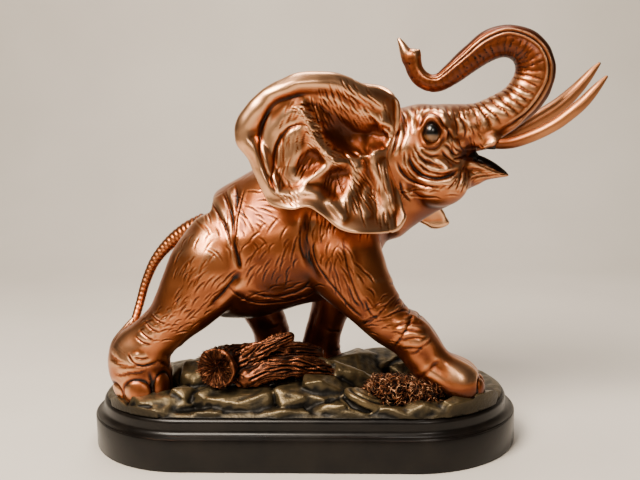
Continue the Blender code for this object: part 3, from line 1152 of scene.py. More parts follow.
# Folds of the flank, haunch and legs on the same chart.
BODY_FOLDS = (
    Fold(((-39, 172), (-36.5, 165), (-35.5, 157), (-36.5, 149)), 0.7, 0.7, 0.1, 0.7, 4),
    Fold(((-47, 167), (-42, 160), (-38, 152), (-36.5, 143)), 0.6, 0.8, 0.2, 0.7, 3),
    Fold(((-57, 163), (-48, 155), (-41, 145), (-37.5, 134)), 0.55, 0.7, 0.2, 0.8, 3),
    *creases((0.5, 0.6, 0.2, 0.6, 2.2),
        ((-45, 168), (-39.5, 158), (-36.5, 148)), ((-36, 118), (-43, 108), (-51, 100)),
    ),
    Fold(((-31, 170), (-33.5, 160), (-35, 148), (-35.5, 137)), 0.55, 0.7, 0.2, -0.5, 3),
    Fold(((-36.5, 150), (-36.5, 138), (-34, 128), (-33, 121)), 1.5, 1.5, 0.1, 0.7, 5),
    Fold(((-33, 122), (-38, 113), (-46, 104), (-54, 97)), 2.4, 1.2, 0.1, 0.6, 4.5),
    Fold(((9, 160), (7, 148), (7, 136), (10, 124), (16, 113)), 2.4, 1.6, 0.1, 0.9, 6),
    *creases((0.5, 0.6, 0.2, 0.6, 2.4),
        ((5, 150), (4, 138), (6.5, 127)), ((12, 140), (13, 130), (17, 121), (22, 114)),
    ),
    Fold(((30, 142), (33, 123), (38, 108), (42, 100)), 0.5, 0.55, 0.2, 0.7, 3),
    Fold(((17, 119), (25, 110), (34, 98), (43, 91)), 0.5, 0.45, 0.2, 0.4, 2.4),
    *creases((0.45, 0.5, 0.2, 0.5, 2),
        ((33, 114), (36, 104), (40, 99)), ((43, 104), (46, 96), (51, 91)),
    ),
    Fold(((-44, 115), (-30, 100), (-11, 97), (6, 101), (13, 108)), 0.55, 0.6, 0.2, 0.6, 3),
    Fold(((-30, 108), (-15, 102), (2, 106), (10, 114)), 0.5, 0.5, 0.2, 0.5, 2.4),
    Fold(((-24, 94), (-10, 92), (5, 96)), 0.5, 0.5, 0.2),
    Fold(((76, 52), (83, 60), (90, 65)), 1.3, 0.3, 0.1, 0.3, 3),
    Fold(((60, 86), (70, 88), (80, 86)), 0.7, 0.35, 0.2, 0.7, 2.4),
    Fold(((61, 81.5), (71, 84), (81, 82)), 0.7, 0.35, 0.2, 0.6, 2.4),
    Fold(((63, 77.5), (72, 80), (81, 79)), 0.7, 0.35, 0.2, 0.5, 2.2),
    *creases((0.5, 0.5, 0.2, 0.5, 2),
        ((55, 92.5), (65, 95), (73, 92)), ((-91, 94), (-84, 90), (-79, 89)),
    ),
    Fold(((64, 72), (72, 73.5), (79, 72.5)), 0.6, 0.25, 0.2, 0.4, 2),
    Fold(((-105, 70), (-104, 66.5), (-101, 63), (-94, 61.2), (-87, 63)), 0.7, 1, 0.1, 0.8, 3.2),
    Fold(((-102, 67.5), (-97, 66), (-92, 66.5)), 0.5, 0.6, 0.2, 0.6, 2),
    Fold(((-93, 58), (-91.5, 51), (-91, 44), (-91.5, 37)), 1.1, 0.9, 0.1, 0.5, 3),
    *creases((0.5, 0.6, 0.2, 0.5, 2),
        ((-98, 84), (-93, 80), (-88, 78)), ((-101, 80), (-96, 76.5), (-90, 75)),
        ((-95, 89), (-89, 85), (-84, 83.5)),
    ),
)
BODY_SWELLS = (
    Swell((-52, 136), (13, 20), 2.4, 15), Swell((-12, 124), (22, 17), 1.8), Swell((-31, 109), (8, 7), 1.6),
    Swell((-10, 156), (20, 12), -1.2), Swell((24, 128), (12, 19), 2.0, -8),
    Swell((41, 103), (9, 15), 1.2, 35), Swell((75, 79), (9, 9), 2.8), Swell((60, 70), (9, 6), -1.0, -45),
    Swell((103, 52), (12, 10), 2.6), Swell((86, 62), (4, 13), -2.0, 48), Swell((-78, 93), (16, 7), 1.0, 38),
    Swell((-36, 160), (5, 14), -1.3, -8), Swell((80, 190), (9, 7), 1.2),
)

# Strokes, patch by patch. Angles follow the way the hide hangs.
HATCHES = (
    Hatch((-23, 159), (13, 13), -20, 60, 2.7, 17, 0.42, 0.5, 3, 1.0),
    Hatch((-13, 130), (20, 18), 60, -30, 2.2, 18, 0.42, 0.55, 5, 1.2),
    Hatch((18, 138), (18, 12), 80, 24, 2.1, 18, 0.42, 0.55, 6, 1.2),
    Hatch((-46, 142), (20, 10), -62, -60, 3.0, 18, 0.44, 0.45, 7, 1.4),
    Hatch((-60, 130), (17, 12), 58, 14, 3.0, 18, 0.42, 0.5, 8, 1.0),
    Hatch((-57, 112), (19, 14), 50, 20, 2.7, 17, 0.42, 0.52, 9, 1.2),
    Hatch((-80, 90), (17, 12), 24, 50, 2.8, 12, 0.42, 0.46, 10, 1.0),
    Hatch((33, 116), (18, 12), -64, 34, 2.3, 17, 0.42, 0.5, 11, 1.2),
    Hatch((56, 90), (14, 14), 10, 44, 2.8, 12, 0.42, 0.45, 12, 1.2),
    Hatch((-6, 104), (26, 8), 8, 40, 2.4, 20, 0.42, 0.45, 13, 1.6),
    Hatch((-42, 174), (20, 7), 30, 10, 3.6, 14, 0.42, 0.3, 14),
    Hatch((-64, 94), (16, 7), 38, 10, 3.0, 13, 0.4, 0.36, 15),
    Hatch((84, 163), (17, 6), -2, 60, 2.2, 16, 0.4, 0.45, 16, 1.8),
    Hatch((80, 184), (10, 7), -38, 20, 2.3, 10, 0.38, 0.35, 17, 1.0),
    Hatch((112, 200), (9, 7), -66, 10, 2.2, 9, 0.4, 0.4, 18),
    Hatch((42, 150), (13, 9), 72, 20, 2.5, 15, 0.42, 0.5, 19, 1.0),
    Hatch((-26, 146), (13, 8), -58, 20, 2.6, 15, 0.42, 0.45, 20, 1.2),
    Hatch((72, 212), (8, 10), 96, 50, 2.2, 10, 0.4, 0.3, 21, 1.0),
    Hatch((121, 174.5), (12, 4), -14, 30, 1.5, 9, 0.36, 0.45, 22, 0.8),
    Hatch((108, 172), (6, 9), 40, 60, 1.9, 9, 0.38, 0.4, 23, 1.0),
)

# Painted shade and painted highlights laid over the patina: darker on the belly, flank, legs and throat,
# paler on the trunk's tip, the belly's underside, the jowl and the fore foot's top.
PAINTED_SHADE_AND_HIGHLIGHTS = (
    PaintedLightPatch(0.27, (4, 120), (42, 30)), PaintedLightPatch(0.1, (44, 100), (12, 14), 2), PaintedLightPatch(0.14, (84, 150), (18, 14), 2),
    PaintedLightPatch(0.17, (-22, 160), (22, 12)), PaintedLightPatch(-0.4, (68, 257), (7, 8)),
    PaintedLightPatch(-0.2, (-29, 107), (9, 6), 2, True), PaintedLightPatch(0.16, (66, 80), (26, 26), 4, True),
    PaintedLightPatch(0.09, (-66, 100), (30, 34), 4, True), PaintedLightPatch(-0.06, (92, 179), (17, 11), 4, True),
    PaintedLightPatch(-0.1, (103, 56), (10, 6), 4, True),
)


@dataclass
class Body:
    """The elephant's hide: torso, head, trunk and legs carved as one skin."""

    voxel: float = 0.68
    blend_passes: int = 46
    trunk_tip: tuple[float, float] = (71, 254)
    jaw_tip: tuple[float, float] = (128, 178)
    temple: tuple[float, float] = (70, 206)
    leg_length: float = 140.0
    leg_rings: int = 11
    first_seed: int = 50
    copper: PlatedCopper = field(default_factory=PlatedCopper)

    def masses(self) -> list[Mass]:
        """Lists the rounded masses that fill out the head.

        Returns:
            The masses.
        """
        cheek = Mass((90, -10, 170), (19, 14.5, 15.5))
        return [
            HEAD, Mass((88, 0, 181), (22, 24, 17)), Mass((88, 0, 208), (18, 25, 11)),
            Mass((106.5, 0, 186.5), (9.5, 9, 6)), cheek, cheek.mirrored(),
        ]

    def base(self) -> Skin:
        """Fuses the limbs and masses and blends their joints.

        Returns:
            The skin before carving.
        """
        limbs = [
            TORSO, NECK, THROAT, LOWER_JAW, LIP, LIP.mirrored(), SHEATH, SHEATH.mirrored(), TONGUE, TRUNK,
            *FINGERS, TAIL_TUFT, *LEGS,
        ]
        skin = fused([*limbs, *self.masses()], self.voxel)
        skin.relax(6)
        x, _, z = skin.points.T
        tip = np.hypot(x - self.trunk_tip[0], z - self.trunk_tip[1])
        jaw = np.hypot(x - self.jaw_tip[0], z - self.jaw_tip[1])
        share = 0.5 * np.minimum(smooth_step(tip, 10, 40), smooth_step(jaw, 13, 26))
        skin.relax(self.blend_passes, share)
        return skin

    def trunk_bands(self, chart: Chart) -> np.ndarray:
        """Works out the trunk's rounded bands, bold at its root and faint at its tip.

        Args:
            chart: the trunk's chart.

        Returns:
            The height at each of the chart's places.
        """
        table = np.linspace(0, 220, 441)
        spacing = np.interp(table, (10, 55, 110, 200), (6.4, 5.4, 4.2, 3.4))
        passed = np.cumsum(0.5 / spacing)
        u, v = chart.u, chart.v
        wobble = 0.8 * np.sin(v / 4.9 + u / 17) + 0.5 * np.sin(v / 2.6 + u / 6.5)
        lean = 4.0 * np.abs(v) / 21 * (1 - smooth_step(u, 30, 90))
        phase = np.interp(u + wobble - lean, table, passed)
        pillow = np.abs(np.sin(np.pi * phase)) ** 0.55 - 0.8
        vary = 0.62 + 0.38 * np.sin(np.floor(phase) * 2.4 + 0.8 * np.sign(v))
        size = np.interp(u, (12, 24, 52, 74, 120, 200), (0.2, 1.5, 1.6, 0.62, 0.42, 0.22))
        across = smooth_step(24.5 - np.abs(v), 0, 6) * smooth_step(np.abs(v), -2, 3)
        return size * vary * pillow * across * chart.weight

    def trunk_folds(self) -> list[Fold]:
        """Draws the trunk's fine cross wrinkles and the raised lines along its outer side.

        Returns:
            The folds, on the trunk's chart.
        """
        rng = np.random.default_rng(41)
        made: list[Fold] = []
        for _ in range(95):
            at = 8 + 190 * rng.uniform() ** 1.3
            start = rng.choice((-1, 1)) * rng.uniform(3, 19)
            reach = rng.uniform(3, 9)
            path = tuple((at + 2.2 * s * rng.uniform(-1, 1), start + reach * s) for s in (-0.5, 0, 0.5))
            made.append(Fold(path, 0.4, rng.uniform(0.25, 0.5), 0.2, taper=0.5))
        for turn, deep in ((23.6, -1.2), (25.4, 0.9), (27.2, -0.8), (29.5, 0.4)):
            for side in (-1, 1):
                path = tuple((u, side * (turn - (u - 100) * 0.012)) for u in range(34, 170, 9))
                made.append(Fold(path, 0.75, deep, 0.0, taper=0.2))
        return made

    def leg_folds(self, seed: int) -> list[Fold]:
        """Draws a set of short rings round a leg's joints.

        Args:
            seed: which set.

        Returns:
            The rings, on the leg's own chart.
        """
        rng = np.random.default_rng(seed)
        made = []
        for i in range(self.leg_rings):
            at = self.leg_length * (0.42 + 0.32 * i / self.leg_rings) + rng.uniform(-1, 1)
            middle = rng.uniform(-30, 30)
            half = rng.uniform(8, 18)
            path = tuple(
                (at + rng.uniform(-0.6, 0.6) + 1.6 * math.cos((v - middle) / 9), v)
                for v in np.linspace(middle - half, middle + half, 5)
            )
            made.append(Fold(path, 0.6, rng.uniform(0.18, 0.4), 0.2, 0.4, 2.2))
        return made

    def eye_socket(self, skin: Skin, chart: Chart) -> None:
        """Hollows the pointed socket, and raises the heavy upper lid, its curl and the soft lower bag.

        Args:
            skin: the hide.
            chart: the chart of one side.
        """
        du = (chart.u - EYE_CENTRE[0]) / EYE_HALF[0]
        dv = (chart.v - EYE_CENTRE[2]) / EYE_HALF[2]
        ring = np.hypot(du * (1 + 0.4 * smooth_step(dv, 0.0, 1.0)), dv)
        upper = smooth_step(dv + 0.25 * du, -0.35, 0.5)

        def line(at: float, wide: float) -> np.ndarray:
            """Returns a soft line round the eye."""
            return np.exp(-(((ring - at) / wide) ** 2))

        rise = -3.2 * np.exp(-((ring / 0.92) ** 4)) - 0.6 * line(0.0, 2.2)
        rise += upper * (2.5 * line(1.4, 0.34) - 0.9 * line(1.95, 0.16))
        rise += (1 - upper) * (0.45 * line(1.2, 0.16) - 0.5 * line(1.5, 0.14))
        rise += 1.7 * np.exp(-(((du - 1.5) / 0.4) ** 2) - ((dv - 0.15) / 0.5) ** 2)
        np.add.at(skin.height, chart.index, rise * chart.weight)

    def carve(self, skin: Skin) -> None:
        """Carves the broad forms first, then folds, rings and strokes.

        Args:
            skin: the hide.
        """
        skin.height += 0.35 * noise(skin.points, 16, 5)
        for side in Side:
            chart = skin.side_chart(side)
            for swell in BODY_SWELLS:
                swell.carve(chart, skin.height)
        skin.raise_relief()
        for side in Side:
            chart = skin.side_chart(side)
            skin.carve(chart, BODY_FOLDS + FACE_FOLDS)
            self.eye_socket(skin, chart)
        skin.raise_relief()
        gap = (skin.points * (1, 0, 1) - (EYE_CENTRE[0], 0, EYE_CENTRE[2])) / (EYE_HALF[0], 1, EYE_HALF[2])
        skin.relax(4, 0.5 * smooth_step(2.5 - np.hypot(gap[:, 0], gap[:, 2]), 0.0, 0.7))
        x, _, z = skin.points.T
        temple = np.hypot((x - self.temple[0]) / 9, (z - self.temple[1]) / 13)
        skin.relax(5, 0.45 * smooth_step(1.3 - temple, 0.0, 0.5))
        trunk = skin.limb_chart(TRUNK, 8, 215, scale=12.0)
        np.add.at(skin.height, trunk.index, self.trunk_bands(trunk))
        skin.carve(trunk, self.trunk_folds())
        tuft = skin.limb_chart(TAIL_TUFT, 2, 40, scale=4.5)
        for turn in (-11, -8.4, -6, -3.4, -1, 2):
            skin.carve(tuft, [Fold(((2, turn), (12, turn + 0.8), (24, turn)), 0.45, 0.6, 0.4)])
        for seed, leg in enumerate(LEGS, self.first_seed):
            skin.carve(skin.limb_chart(leg, 40, 150, scale=15.0), self.leg_folds(seed))
        skin.raise_relief()
        for side in Side:
            chart = skin.side_chart(side)
            for hatch in HATCHES:
                if side is Side.FAR:
                    hatch = replace(hatch, seed=hatch.seed + 40, spacing=hatch.spacing * 1.3)
                skin.carve(chart, hatch.strokes())
        skin.raise_relief()

    def nails(self, skin: Skin) -> None:
        """Raises each foot's nails as low domes, with a crease over the top of each.

        Args:
            skin: the hide.
        """
        feet = (
            ((-100.5, -48, 44.5), 9.0, 7.4), ((-85, -41, 46), 7.0, 9.0), ((-115, -40, 42), 6.0, 7.0),
            ((114.5, -42, 44.5), 5.0, 8.0), ((118, -31, 44.5), 6.0, 9.5), ((-10, 18, 42), 4.6, 5.5),
            ((-22, 13, 41), 4.8, 5.5), ((24, 18, 42), 4.6, 5.5), ((11, 12, 41), 4.8, 5.5),
        )
        for (x, y, z), wide, tall in feet:
            gap = skin.points - (x, y, z)
            ring = np.sqrt((gap[:, 0] / wide) ** 2 + (gap[:, 1] / wide) ** 2 + (gap[:, 2] / tall) ** 2)
            near = ring < 2.0
            over = smooth_step(gap[near, 2] / tall, -0.7, 0.5)
            ring = ring[near]
            skin.height[near] += 1.7 * np.clip(1 - ring**2, 0, 1) ** 0.7
            skin.height[near] -= 0.6 * over * np.exp(-(((ring - 1.06) / 0.15) ** 2))
        skin.raise_relief()

    def paint_shade_and_highlights(self, skin: Skin) -> None:
        """Paints shade into the hide: the mouth filled black, under the belly, inside the far legs, along the
        trunk's underside, low on the near feet, round the eye's socket and on every downward face; lays the
        painted shade and highlight patches, and darkens the trunk's arch.

        Args:
            skin: the hide, aged.
        """
        x, y, z = skin.points.T
        up = skin.normals()[:, 2]
        jaw_edge = np.interp(x, (111, 113.4, 120.2, 128.3, 135.8), (186.5, 183.1, 181.1, 176.6, 174.3)) - 0.5
        roof = np.interp(x, (108, 112, 118, 127, 140), (186.5, 188.6, 190, 195, 200))
        # Painted shade: the open mouth is filled with the darkest tone.
        mouth = (x > 109) & (x < 138) & (z > jaw_edge) & (z < roof)
        # Painted shade on the belly's downward faces and low inside the far legs.
        belly_shade = smooth_step(-up, 0.1, 0.7) * smooth_step(122 - z, 0, 14) * ((x > -60) & (x < 60))
        far_leg_shade = smooth_step(y, 2, 12) * smooth_step(106 - z, 0, 16) * ((x > -50) & (x < 40))
        trunk = skin.limb_chart(TRUNK, 2, 215)
        turn, reached = np.abs(trunk.v), trunk.u
        arch = smooth_step(reached, 56, 84) * (1 - 0.75 * smooth_step(turn, 19, 23))
        skin.patina[trunk.index] += 0.38 * arch
        # Painted shade along the trunk's underside, beyond its outer ridge.
        under = np.zeros(len(x))
        under[trunk.index] = 0.6 * smooth_step(turn, 27.5, 31) * smooth_step(190 - reached, 0, 60)
        near = y < 0
        # Painted shade towards the ground on the near feet.
        feet = 0.42 * smooth_step(46 - z, 0, 12) * near
        # Painted shade and painted highlight patches.
        for tone in PAINTED_SHADE_AND_HIGHLIGHTS:
            skin.patina += tone.over(x, y, z)
        # Painted shade low on the near hind heel and on the near fore foot.
        heel = smooth_step(-78 - x, 0, 8) * smooth_step(66 - z, 0, 12) * smooth_step(x, -112, -96)
        skin.patina += near * (0.32 * heel + 0.6 * smooth_step(55 - z, 0, 12) * smooth_step(x, 80, 88))
        # Painted shade in a ring round the eye's socket.
        around = np.hypot((x - EYE_CENTRE[0]) / EYE_HALF[0], (z - EYE_CENTRE[2]) / EYE_HALF[2])
        skin.patina += 0.3 * np.exp(-(((around - 1.15) / 0.4) ** 4))
        lip = (x > 107) & (x < 138) & (z <= jaw_edge) & (z > 164)
        skin.patina[lip] = np.minimum(skin.patina[lip], 0.34)
        # Painted shade on every face that turns downward.
        skin.patina += 0.14 * smooth_step(-up, -0.1, 0.6)
        skin.patina = np.maximum.reduce([skin.patina, mouth, 0.66 * belly_shade, 0.46 * far_leg_shade, under, feet])

    def build(self) -> bpy.types.Object:
        """Returns:
            The piece.
        """
        skin = self.base()
        self.carve(skin)
        self.nails(skin)
        skin.relax(1, 0.25)
        skin.points[:, 2] = np.maximum(skin.points[:, 2], PLINTH_TOP + 0.6)
        skin.age()
        self.paint_shade_and_highlights(skin)
        return finished("elephant_hide", skin, self.copper.material())


# ---------------------------------------------------------------- ears


def distance_to(line: np.ndarray, x: np.ndarray, z: np.ndarray) -> tuple[np.ndarray, np.ndarray]:
    """Measures how far places are from a line.

    Args:
        line: the line's points, one row each.
        x: places along the animal, in mm.
        z: their heights.

    Returns:
        Each place's distance, and how far along the line its nearest spot is, from 0 to 1.
    """
    spot = np.stack([x, z], axis=1)
    start, step = line[:-1], np.diff(line, axis=0)
    length2 = np.maximum((step**2).sum(1), 1e-9)
    best = np.full(len(spot), 1e9)
    reached = np.zeros(len(spot))
    for i in range(len(step)):
        share = np.clip(((spot - start[i]) @ step[i]) / length2[i], 0, 1)
        away = np.linalg.norm(spot - start[i] - share[:, None] * step[i], axis=1)
        closer = away < best
        best[closer] = away[closer]
        reached[closer] = (i + share[closer]) / len(step)
    return best, reached


def inside_of(line: np.ndarray, x: np.ndarray, z: np.ndarray) -> np.ndarray:
    """Tests which places are inside a closed line.

    Args:
        line: the line's points, one row each.
        x: places along the animal, in mm.
        z: their heights.

    Returns:
        1 for each place inside and 0 for each outside.
    """
    inside = np.zeros(len(x), bool)
    ends = np.roll(line, -1, axis=0)
    for (x0, z0), (x1, z1) in zip(line, ends):
        if z0 == z1:
            continue
        crosses = (z0 > z) != (z1 > z)
        inside ^= crosses & (x < (x1 - x0) * (z - z0) / (z1 - z0) + x0)
    return inside.astype(float)


@dataclass(frozen=True)
class EarPlan:
    """One ear's own line and the side it is on."""

    name: str
    side: Side
    outline: Path
    middle: tuple[float, float] = (18.0, 192.0)


NEAR_EAR = EarPlan("near_ear", Side.NEAR, (
    (65, 206), (65.5, 221.5), (55.1, 229.7), (44.5, 232.4), (34, 237.8), (23.5, 240), (5.8, 240),
    (-5, 235.8), (-15.9, 229.6), (-26.3, 219.8), (-31.6, 211.4), (-32.2, 204.3), (-30.7, 197.8),
    (-24.4, 189.8), (-21.7, 182.6), (-18.4, 174.5), (-14.9, 167.2), (-10.7, 162.4), (0.9, 160),
    (10.4, 161.4), (18.3, 156.3), (25.4, 149.9), (31.1, 146.5), (39.8, 144.6), (54.2, 143.2), (63.5, 143.6),
    (68.7, 150.9), (68, 156), (65.9, 165.4), (61.7, 175.5), (58.5, 186), (60, 196),
))
FAR_EAR = EarPlan("far_ear", Side.FAR, (
    (64, 208), (65, 222), (57, 231), (40, 234), (14, 235), (-8, 229), (-22, 215), (-26, 200), (-18, 183),
    (-6, 168), (14, 158), (42, 152), (66, 144), (83, 137), (88, 134), (94, 133.8), (100.5, 137),
    (98.5, 142), (95, 148), (80, 166), (66, 182), (62, 196),
))


@dataclass
class Ear:
    """A spread ear: a dished plate with a rolled rim, two long valleys and a deep bowl."""

    plan: EarPlan
    sides: int = 440
    rings: int = 64
    thickness: float = 4.4
    root_depth: float = 27.0
    root: float = 62.0
    breadth: float = 92.0
    flare: float = 29.0
    skirt: float = 13.0
    skirt_top: float = 185.0
    rim_width: float = 13.0
    bowl_depth: float = 15.0
    copper: PlatedCopper = field(default_factory=PlatedCopper)

    comb: Path = (
        (4, 221), (9.5, 214.5), (12.6, 208), (14.8, 201), (19, 193.6), (25.6, 188), (33, 184.8), (44, 185),
    )
    bowl: Path = (
        (7.5, 221), (12.5, 215.5), (16.5, 208), (19, 201.5), (25, 193.6), (33.9, 188.7), (44, 189.5),
        (55, 192), (60, 196), (60.5, 204), (53, 211), (44, 217), (33.8, 222.4), (20, 226), (12, 226.5),
    )
    outer_valley: Path = (
        (13, 228.6), (0, 225.6), (-9, 221.3), (-14.6, 213), (-17.5, 202), (-15.6, 189), (-11, 177),
        (-6, 168.5),
    )
    inner_valley: Path = ((8.4, 210.4), (-0.8, 207), (-7.5, 197.5), (-9.8, 186), (-10.3, 176), (-6.9, 169.3))
    inner_band: Path = ((10, 219), (-2, 215), (-10, 206), (-13, 193), (-13, 180), (-8, 170))
    windows: tuple[Swell, ...] = (
        Swell((11.2, 187.2), (6.2, 9.5), -3.4, -42), Swell((27.5, 174.5), (8.0, 10.6), -4.4, -36),
    )
    panels: tuple[Swell, ...] = (
        Swell((2.0, 197.0), (5.0, 14.0), 1.6, -8), Swell((47, 167), (7, 15), -2.2, 12),
        Swell((5, 231), (18, 5), 1.2, 6),
    )
    fan: tuple[tuple[Path, float, float], ...] = (
        (((29, 188), (20, 183), (12, 177.6), (5, 171)), 2.6, 2.8),
        (((44, 187), (38, 180), (33.5, 170), (34, 156)), 2.6, 4.2),
        (((56.5, 188), (57, 178), (59.5, 166), (61, 152)), 2.6, 3.6),
        (((45, 172), (44, 162), (47, 152)), 1.4, 2.4), (((22, 167), (27, 159), (34, 152)), 1.8, 3.0),
    )

    def depth(self, x: np.ndarray, z: np.ndarray) -> np.ndarray:
        """Works out where the ear's plate stands before carving.

        Args:
            x: places along the animal, in mm.
            z: their heights.

        Returns:
            The distance from the middle plane at each place.
        """
        back = np.clip((self.root - x) / self.breadth, 0.0, 1.0)
        flare = self.flare * np.sin(back * np.pi / 2) ** 0.8
        skirt = self.skirt * np.clip((self.skirt_top - z) / 45, 0.0, 1.0) * (1 - 0.6 * back)
        return self.root_depth + flare + skirt

    def hide_depth(self, x: np.ndarray, z: np.ndarray) -> np.ndarray:
        """Works out where the neck and head stand behind the ear.

        Args:
            x: places along the animal, in mm.
            z: their heights.

        Returns:
            The distance from the middle plane at each place.
        """
        share = np.hypot((x - HEAD.centre[0]) / HEAD.half[0], (z - HEAD.centre[2]) / HEAD.half[2])
        deepest = HEAD.half[1] * np.sqrt(np.clip(1 - share**2, 0, 1))
        for limb in (TORSO, NECK):
            runs = limb.runs()
            gap = np.hypot(x[:, None] - runs[:, 0], z[:, None] - runs[:, 2])
            best = gap.argmin(axis=1)
            share = gap[np.arange(len(x)), best] / runs[best, 3]
            deepest = np.maximum(deepest, runs[best, 4] * np.sqrt(np.clip(1 - share**2, 0, 1)))
        return deepest

    def hollow(self, x: np.ndarray, z: np.ndarray, reach: np.ndarray | float) -> np.ndarray:
        """Works out what lies in the bowl.

        Args:
            x: places along the animal, in mm.
            z: their heights.
            reach: how soon the bowl gets deep, in mm from its edge.

        Returns:
            0 outside the bowl, rising to 1 within it.
        """
        line = curve_through(np.array(self.bowl), 5, closed=True)
        edge, _ = distance_to(line, x, z)
        ragged = noise(np.stack([x + z, 0 * x, 0.3 * (z - x)], axis=1), 3.0, 12)
        edge = np.maximum(edge + 1.2 * ragged * np.exp(-((edge / 3.5) ** 2)), 0)
        return inside_of(line, x, z) * (1 - np.exp(-((edge / reach) ** 1.5)))

    def along(self, path: Path, x: np.ndarray, z: np.ndarray, wide: float) -> np.ndarray:
        """Returns a soft ridge of height 1 along a path, fading at both its ends."""
        away, reached = distance_to(curve_through(np.array(path), 6), x, z)
        return np.exp(-((away / wide) ** 2)) * smooth_step(np.minimum(reached + 0.05, 1 - reached), 0.0, 0.22)

    def relief(self, x: np.ndarray, z: np.ndarray, rim: np.ndarray) -> np.ndarray:
        """Returns how far the carving stands out of the plate.

        Args:
            x: places along the animal, in mm.
            z: their heights.
            rim: how far each is from the ear's edge.

        Returns:
            The rise at each place, in mm.
        """
        upper = smooth_step(z, 156, 176) * smooth_step(60 - x, 0, 14)
        roll = np.sin(np.pi * np.clip(rim / self.rim_width, 0, 1))
        rise = upper * (3.2 * roll - 2.4 * smooth_step(rim, 8.0, 15.0))
        rise -= 2.4 * self.along(self.outer_valley, x, z, 1.4)
        rise -= 2.2 * self.along(self.inner_valley, x, z, 1.2)
        rise += 1.0 * self.along(self.inner_band, x, z, 3.4)
        rise += 3.8 * self.along(self.comb, x, z, 4.0)
        reach = 7.0 + 9.0 * smooth_step(z + 0.55 * x, 214, 232) * smooth_step(52 - x, 0, 12)
        rise -= self.bowl_depth * self.hollow(x, z, reach)
        for panel in self.windows + self.panels:
            rise += panel.height * np.exp(-(panel.reach(x, z) ** 2))
        for path, high, wide in self.fan:
            rise += high * self.along(path, x, z, wide)
        lower = smooth_step(172 - z, 0, 10) * (1 - upper) * smooth_step(64 - x, 0, 12)
        rise += 4.5 * lower * np.exp(-((rim / 6.0) ** 2))
        rise += 1.8 * lower * np.sin(x / 5.2) * np.exp(-((rim / 8.0) ** 2))
        return rise

    def shade(self, skin: Skin) -> None:
        """Darkens the bowl with patina and painted shade, with a paler painted reflection at its foot, gives
        the windows a warm painted reflection, and paints highlights on the comb and the lower ear.

        Args:
            skin: the ear, aged.
        """
        x, y, z = skin.points.T
        # The bowl's dark tone, partly patina and partly painted shade, with a painted reflection low in it.
        target = 0.57 + PaintedLightPatch(0.14, (25, 203), (11, 12), 2).over(x, y, z)
        target += PaintedLightPatch(-0.12, (42, 194), (12, 4), 2).over(x, y, z)
        bowl = self.hollow(x, z, 3.0 + 7.0 * smooth_step(z + 0.55 * x, 214, 232))
        skin.patina += bowl * (target - skin.patina)
        # Painted highlights: paler outside the bowl, most along the comb, and on the lower ear.
        skin.patina -= 0.1 * (1 - bowl) * (0.6 + self.along(self.comb, x, z, 3.5))
        skin.patina -= 0.07 * (1 - bowl) * smooth_step(182 - z, 0, 14)
        # The windows' warm tone is a painted reflection.
        for window in self.windows:
            skin.patina += np.exp(-(window.reach(x, z) ** 3)) * 0.9 * (0.5 - skin.patina)

    def skin(self) -> Skin:
        """Builds the ear as a closed plate with its broad forms.

        Returns:
            The plate's skin.
        """
        rim = curve_through(np.array(self.plan.outline, float), 24, closed=True)
        lengths = np.linalg.norm(np.diff(np.vstack([rim, rim[:1]]), axis=0), axis=1)
        reached = np.concatenate([[0.0], np.cumsum(lengths)])
        even = np.linspace(0, reached[-1], self.sides, endpoint=False)
        rim = np.stack([np.interp(even, reached, np.append(rim[:, k], rim[0, k])) for k in (0, 1)], axis=1)
        middle = np.array(self.plan.middle)
        reach = (np.arange(1, self.rings + 1) / self.rings) ** 0.8
        flat = (middle + (rim - middle) * reach[:, None, None]).reshape(-1, 2)
        x, z = flat.T
        away, _ = distance_to(np.vstack([rim, rim[:1]])[::3], x, z)
        front = self.depth(x, z) + self.relief(x, z, away)
        floor = np.maximum(self.hide_depth(x, z) + 0.4, 9.0)
        front = np.where(front < floor + 3, floor + 3 * np.exp((front - floor - 3) / 3), front)
        edge = np.clip(away / 2.2, 0, 1)
        half = self.thickness * (0.25 + 0.75 * np.sqrt(1 - (1 - edge) ** 2))
        back = np.minimum(front, self.depth(x, z) - 2.0) - half
        front += (half - self.thickness) / 2
        sheets = [
            np.stack([x, depth * self.plan.side.value, z], axis=1).reshape(self.rings, self.sides, 3)
            for depth in (front, back)
        ]
        points = np.concatenate([sheets[0], sheets[1][::-1]]).reshape(-1, 3)
        faces = grid_faces(2 * self.rings, self.sides)
        first, last = len(points), len(points) + 1
        top = len(points) - self.sides
        for i in range(self.sides):
            j = (i + 1) % self.sides
            faces += [(first, i, j, j), (last, top + j, top + i, top + i)]
        skin = Skin(np.vstack([points, *(sheet[0].mean(axis=0) for sheet in sheets)]), np.array(faces))
        if skin.normals()[: self.sides * self.rings, 1].mean() * self.plan.side.value < 0:
            skin.faces = skin.faces[:, ::-1]
        return skin

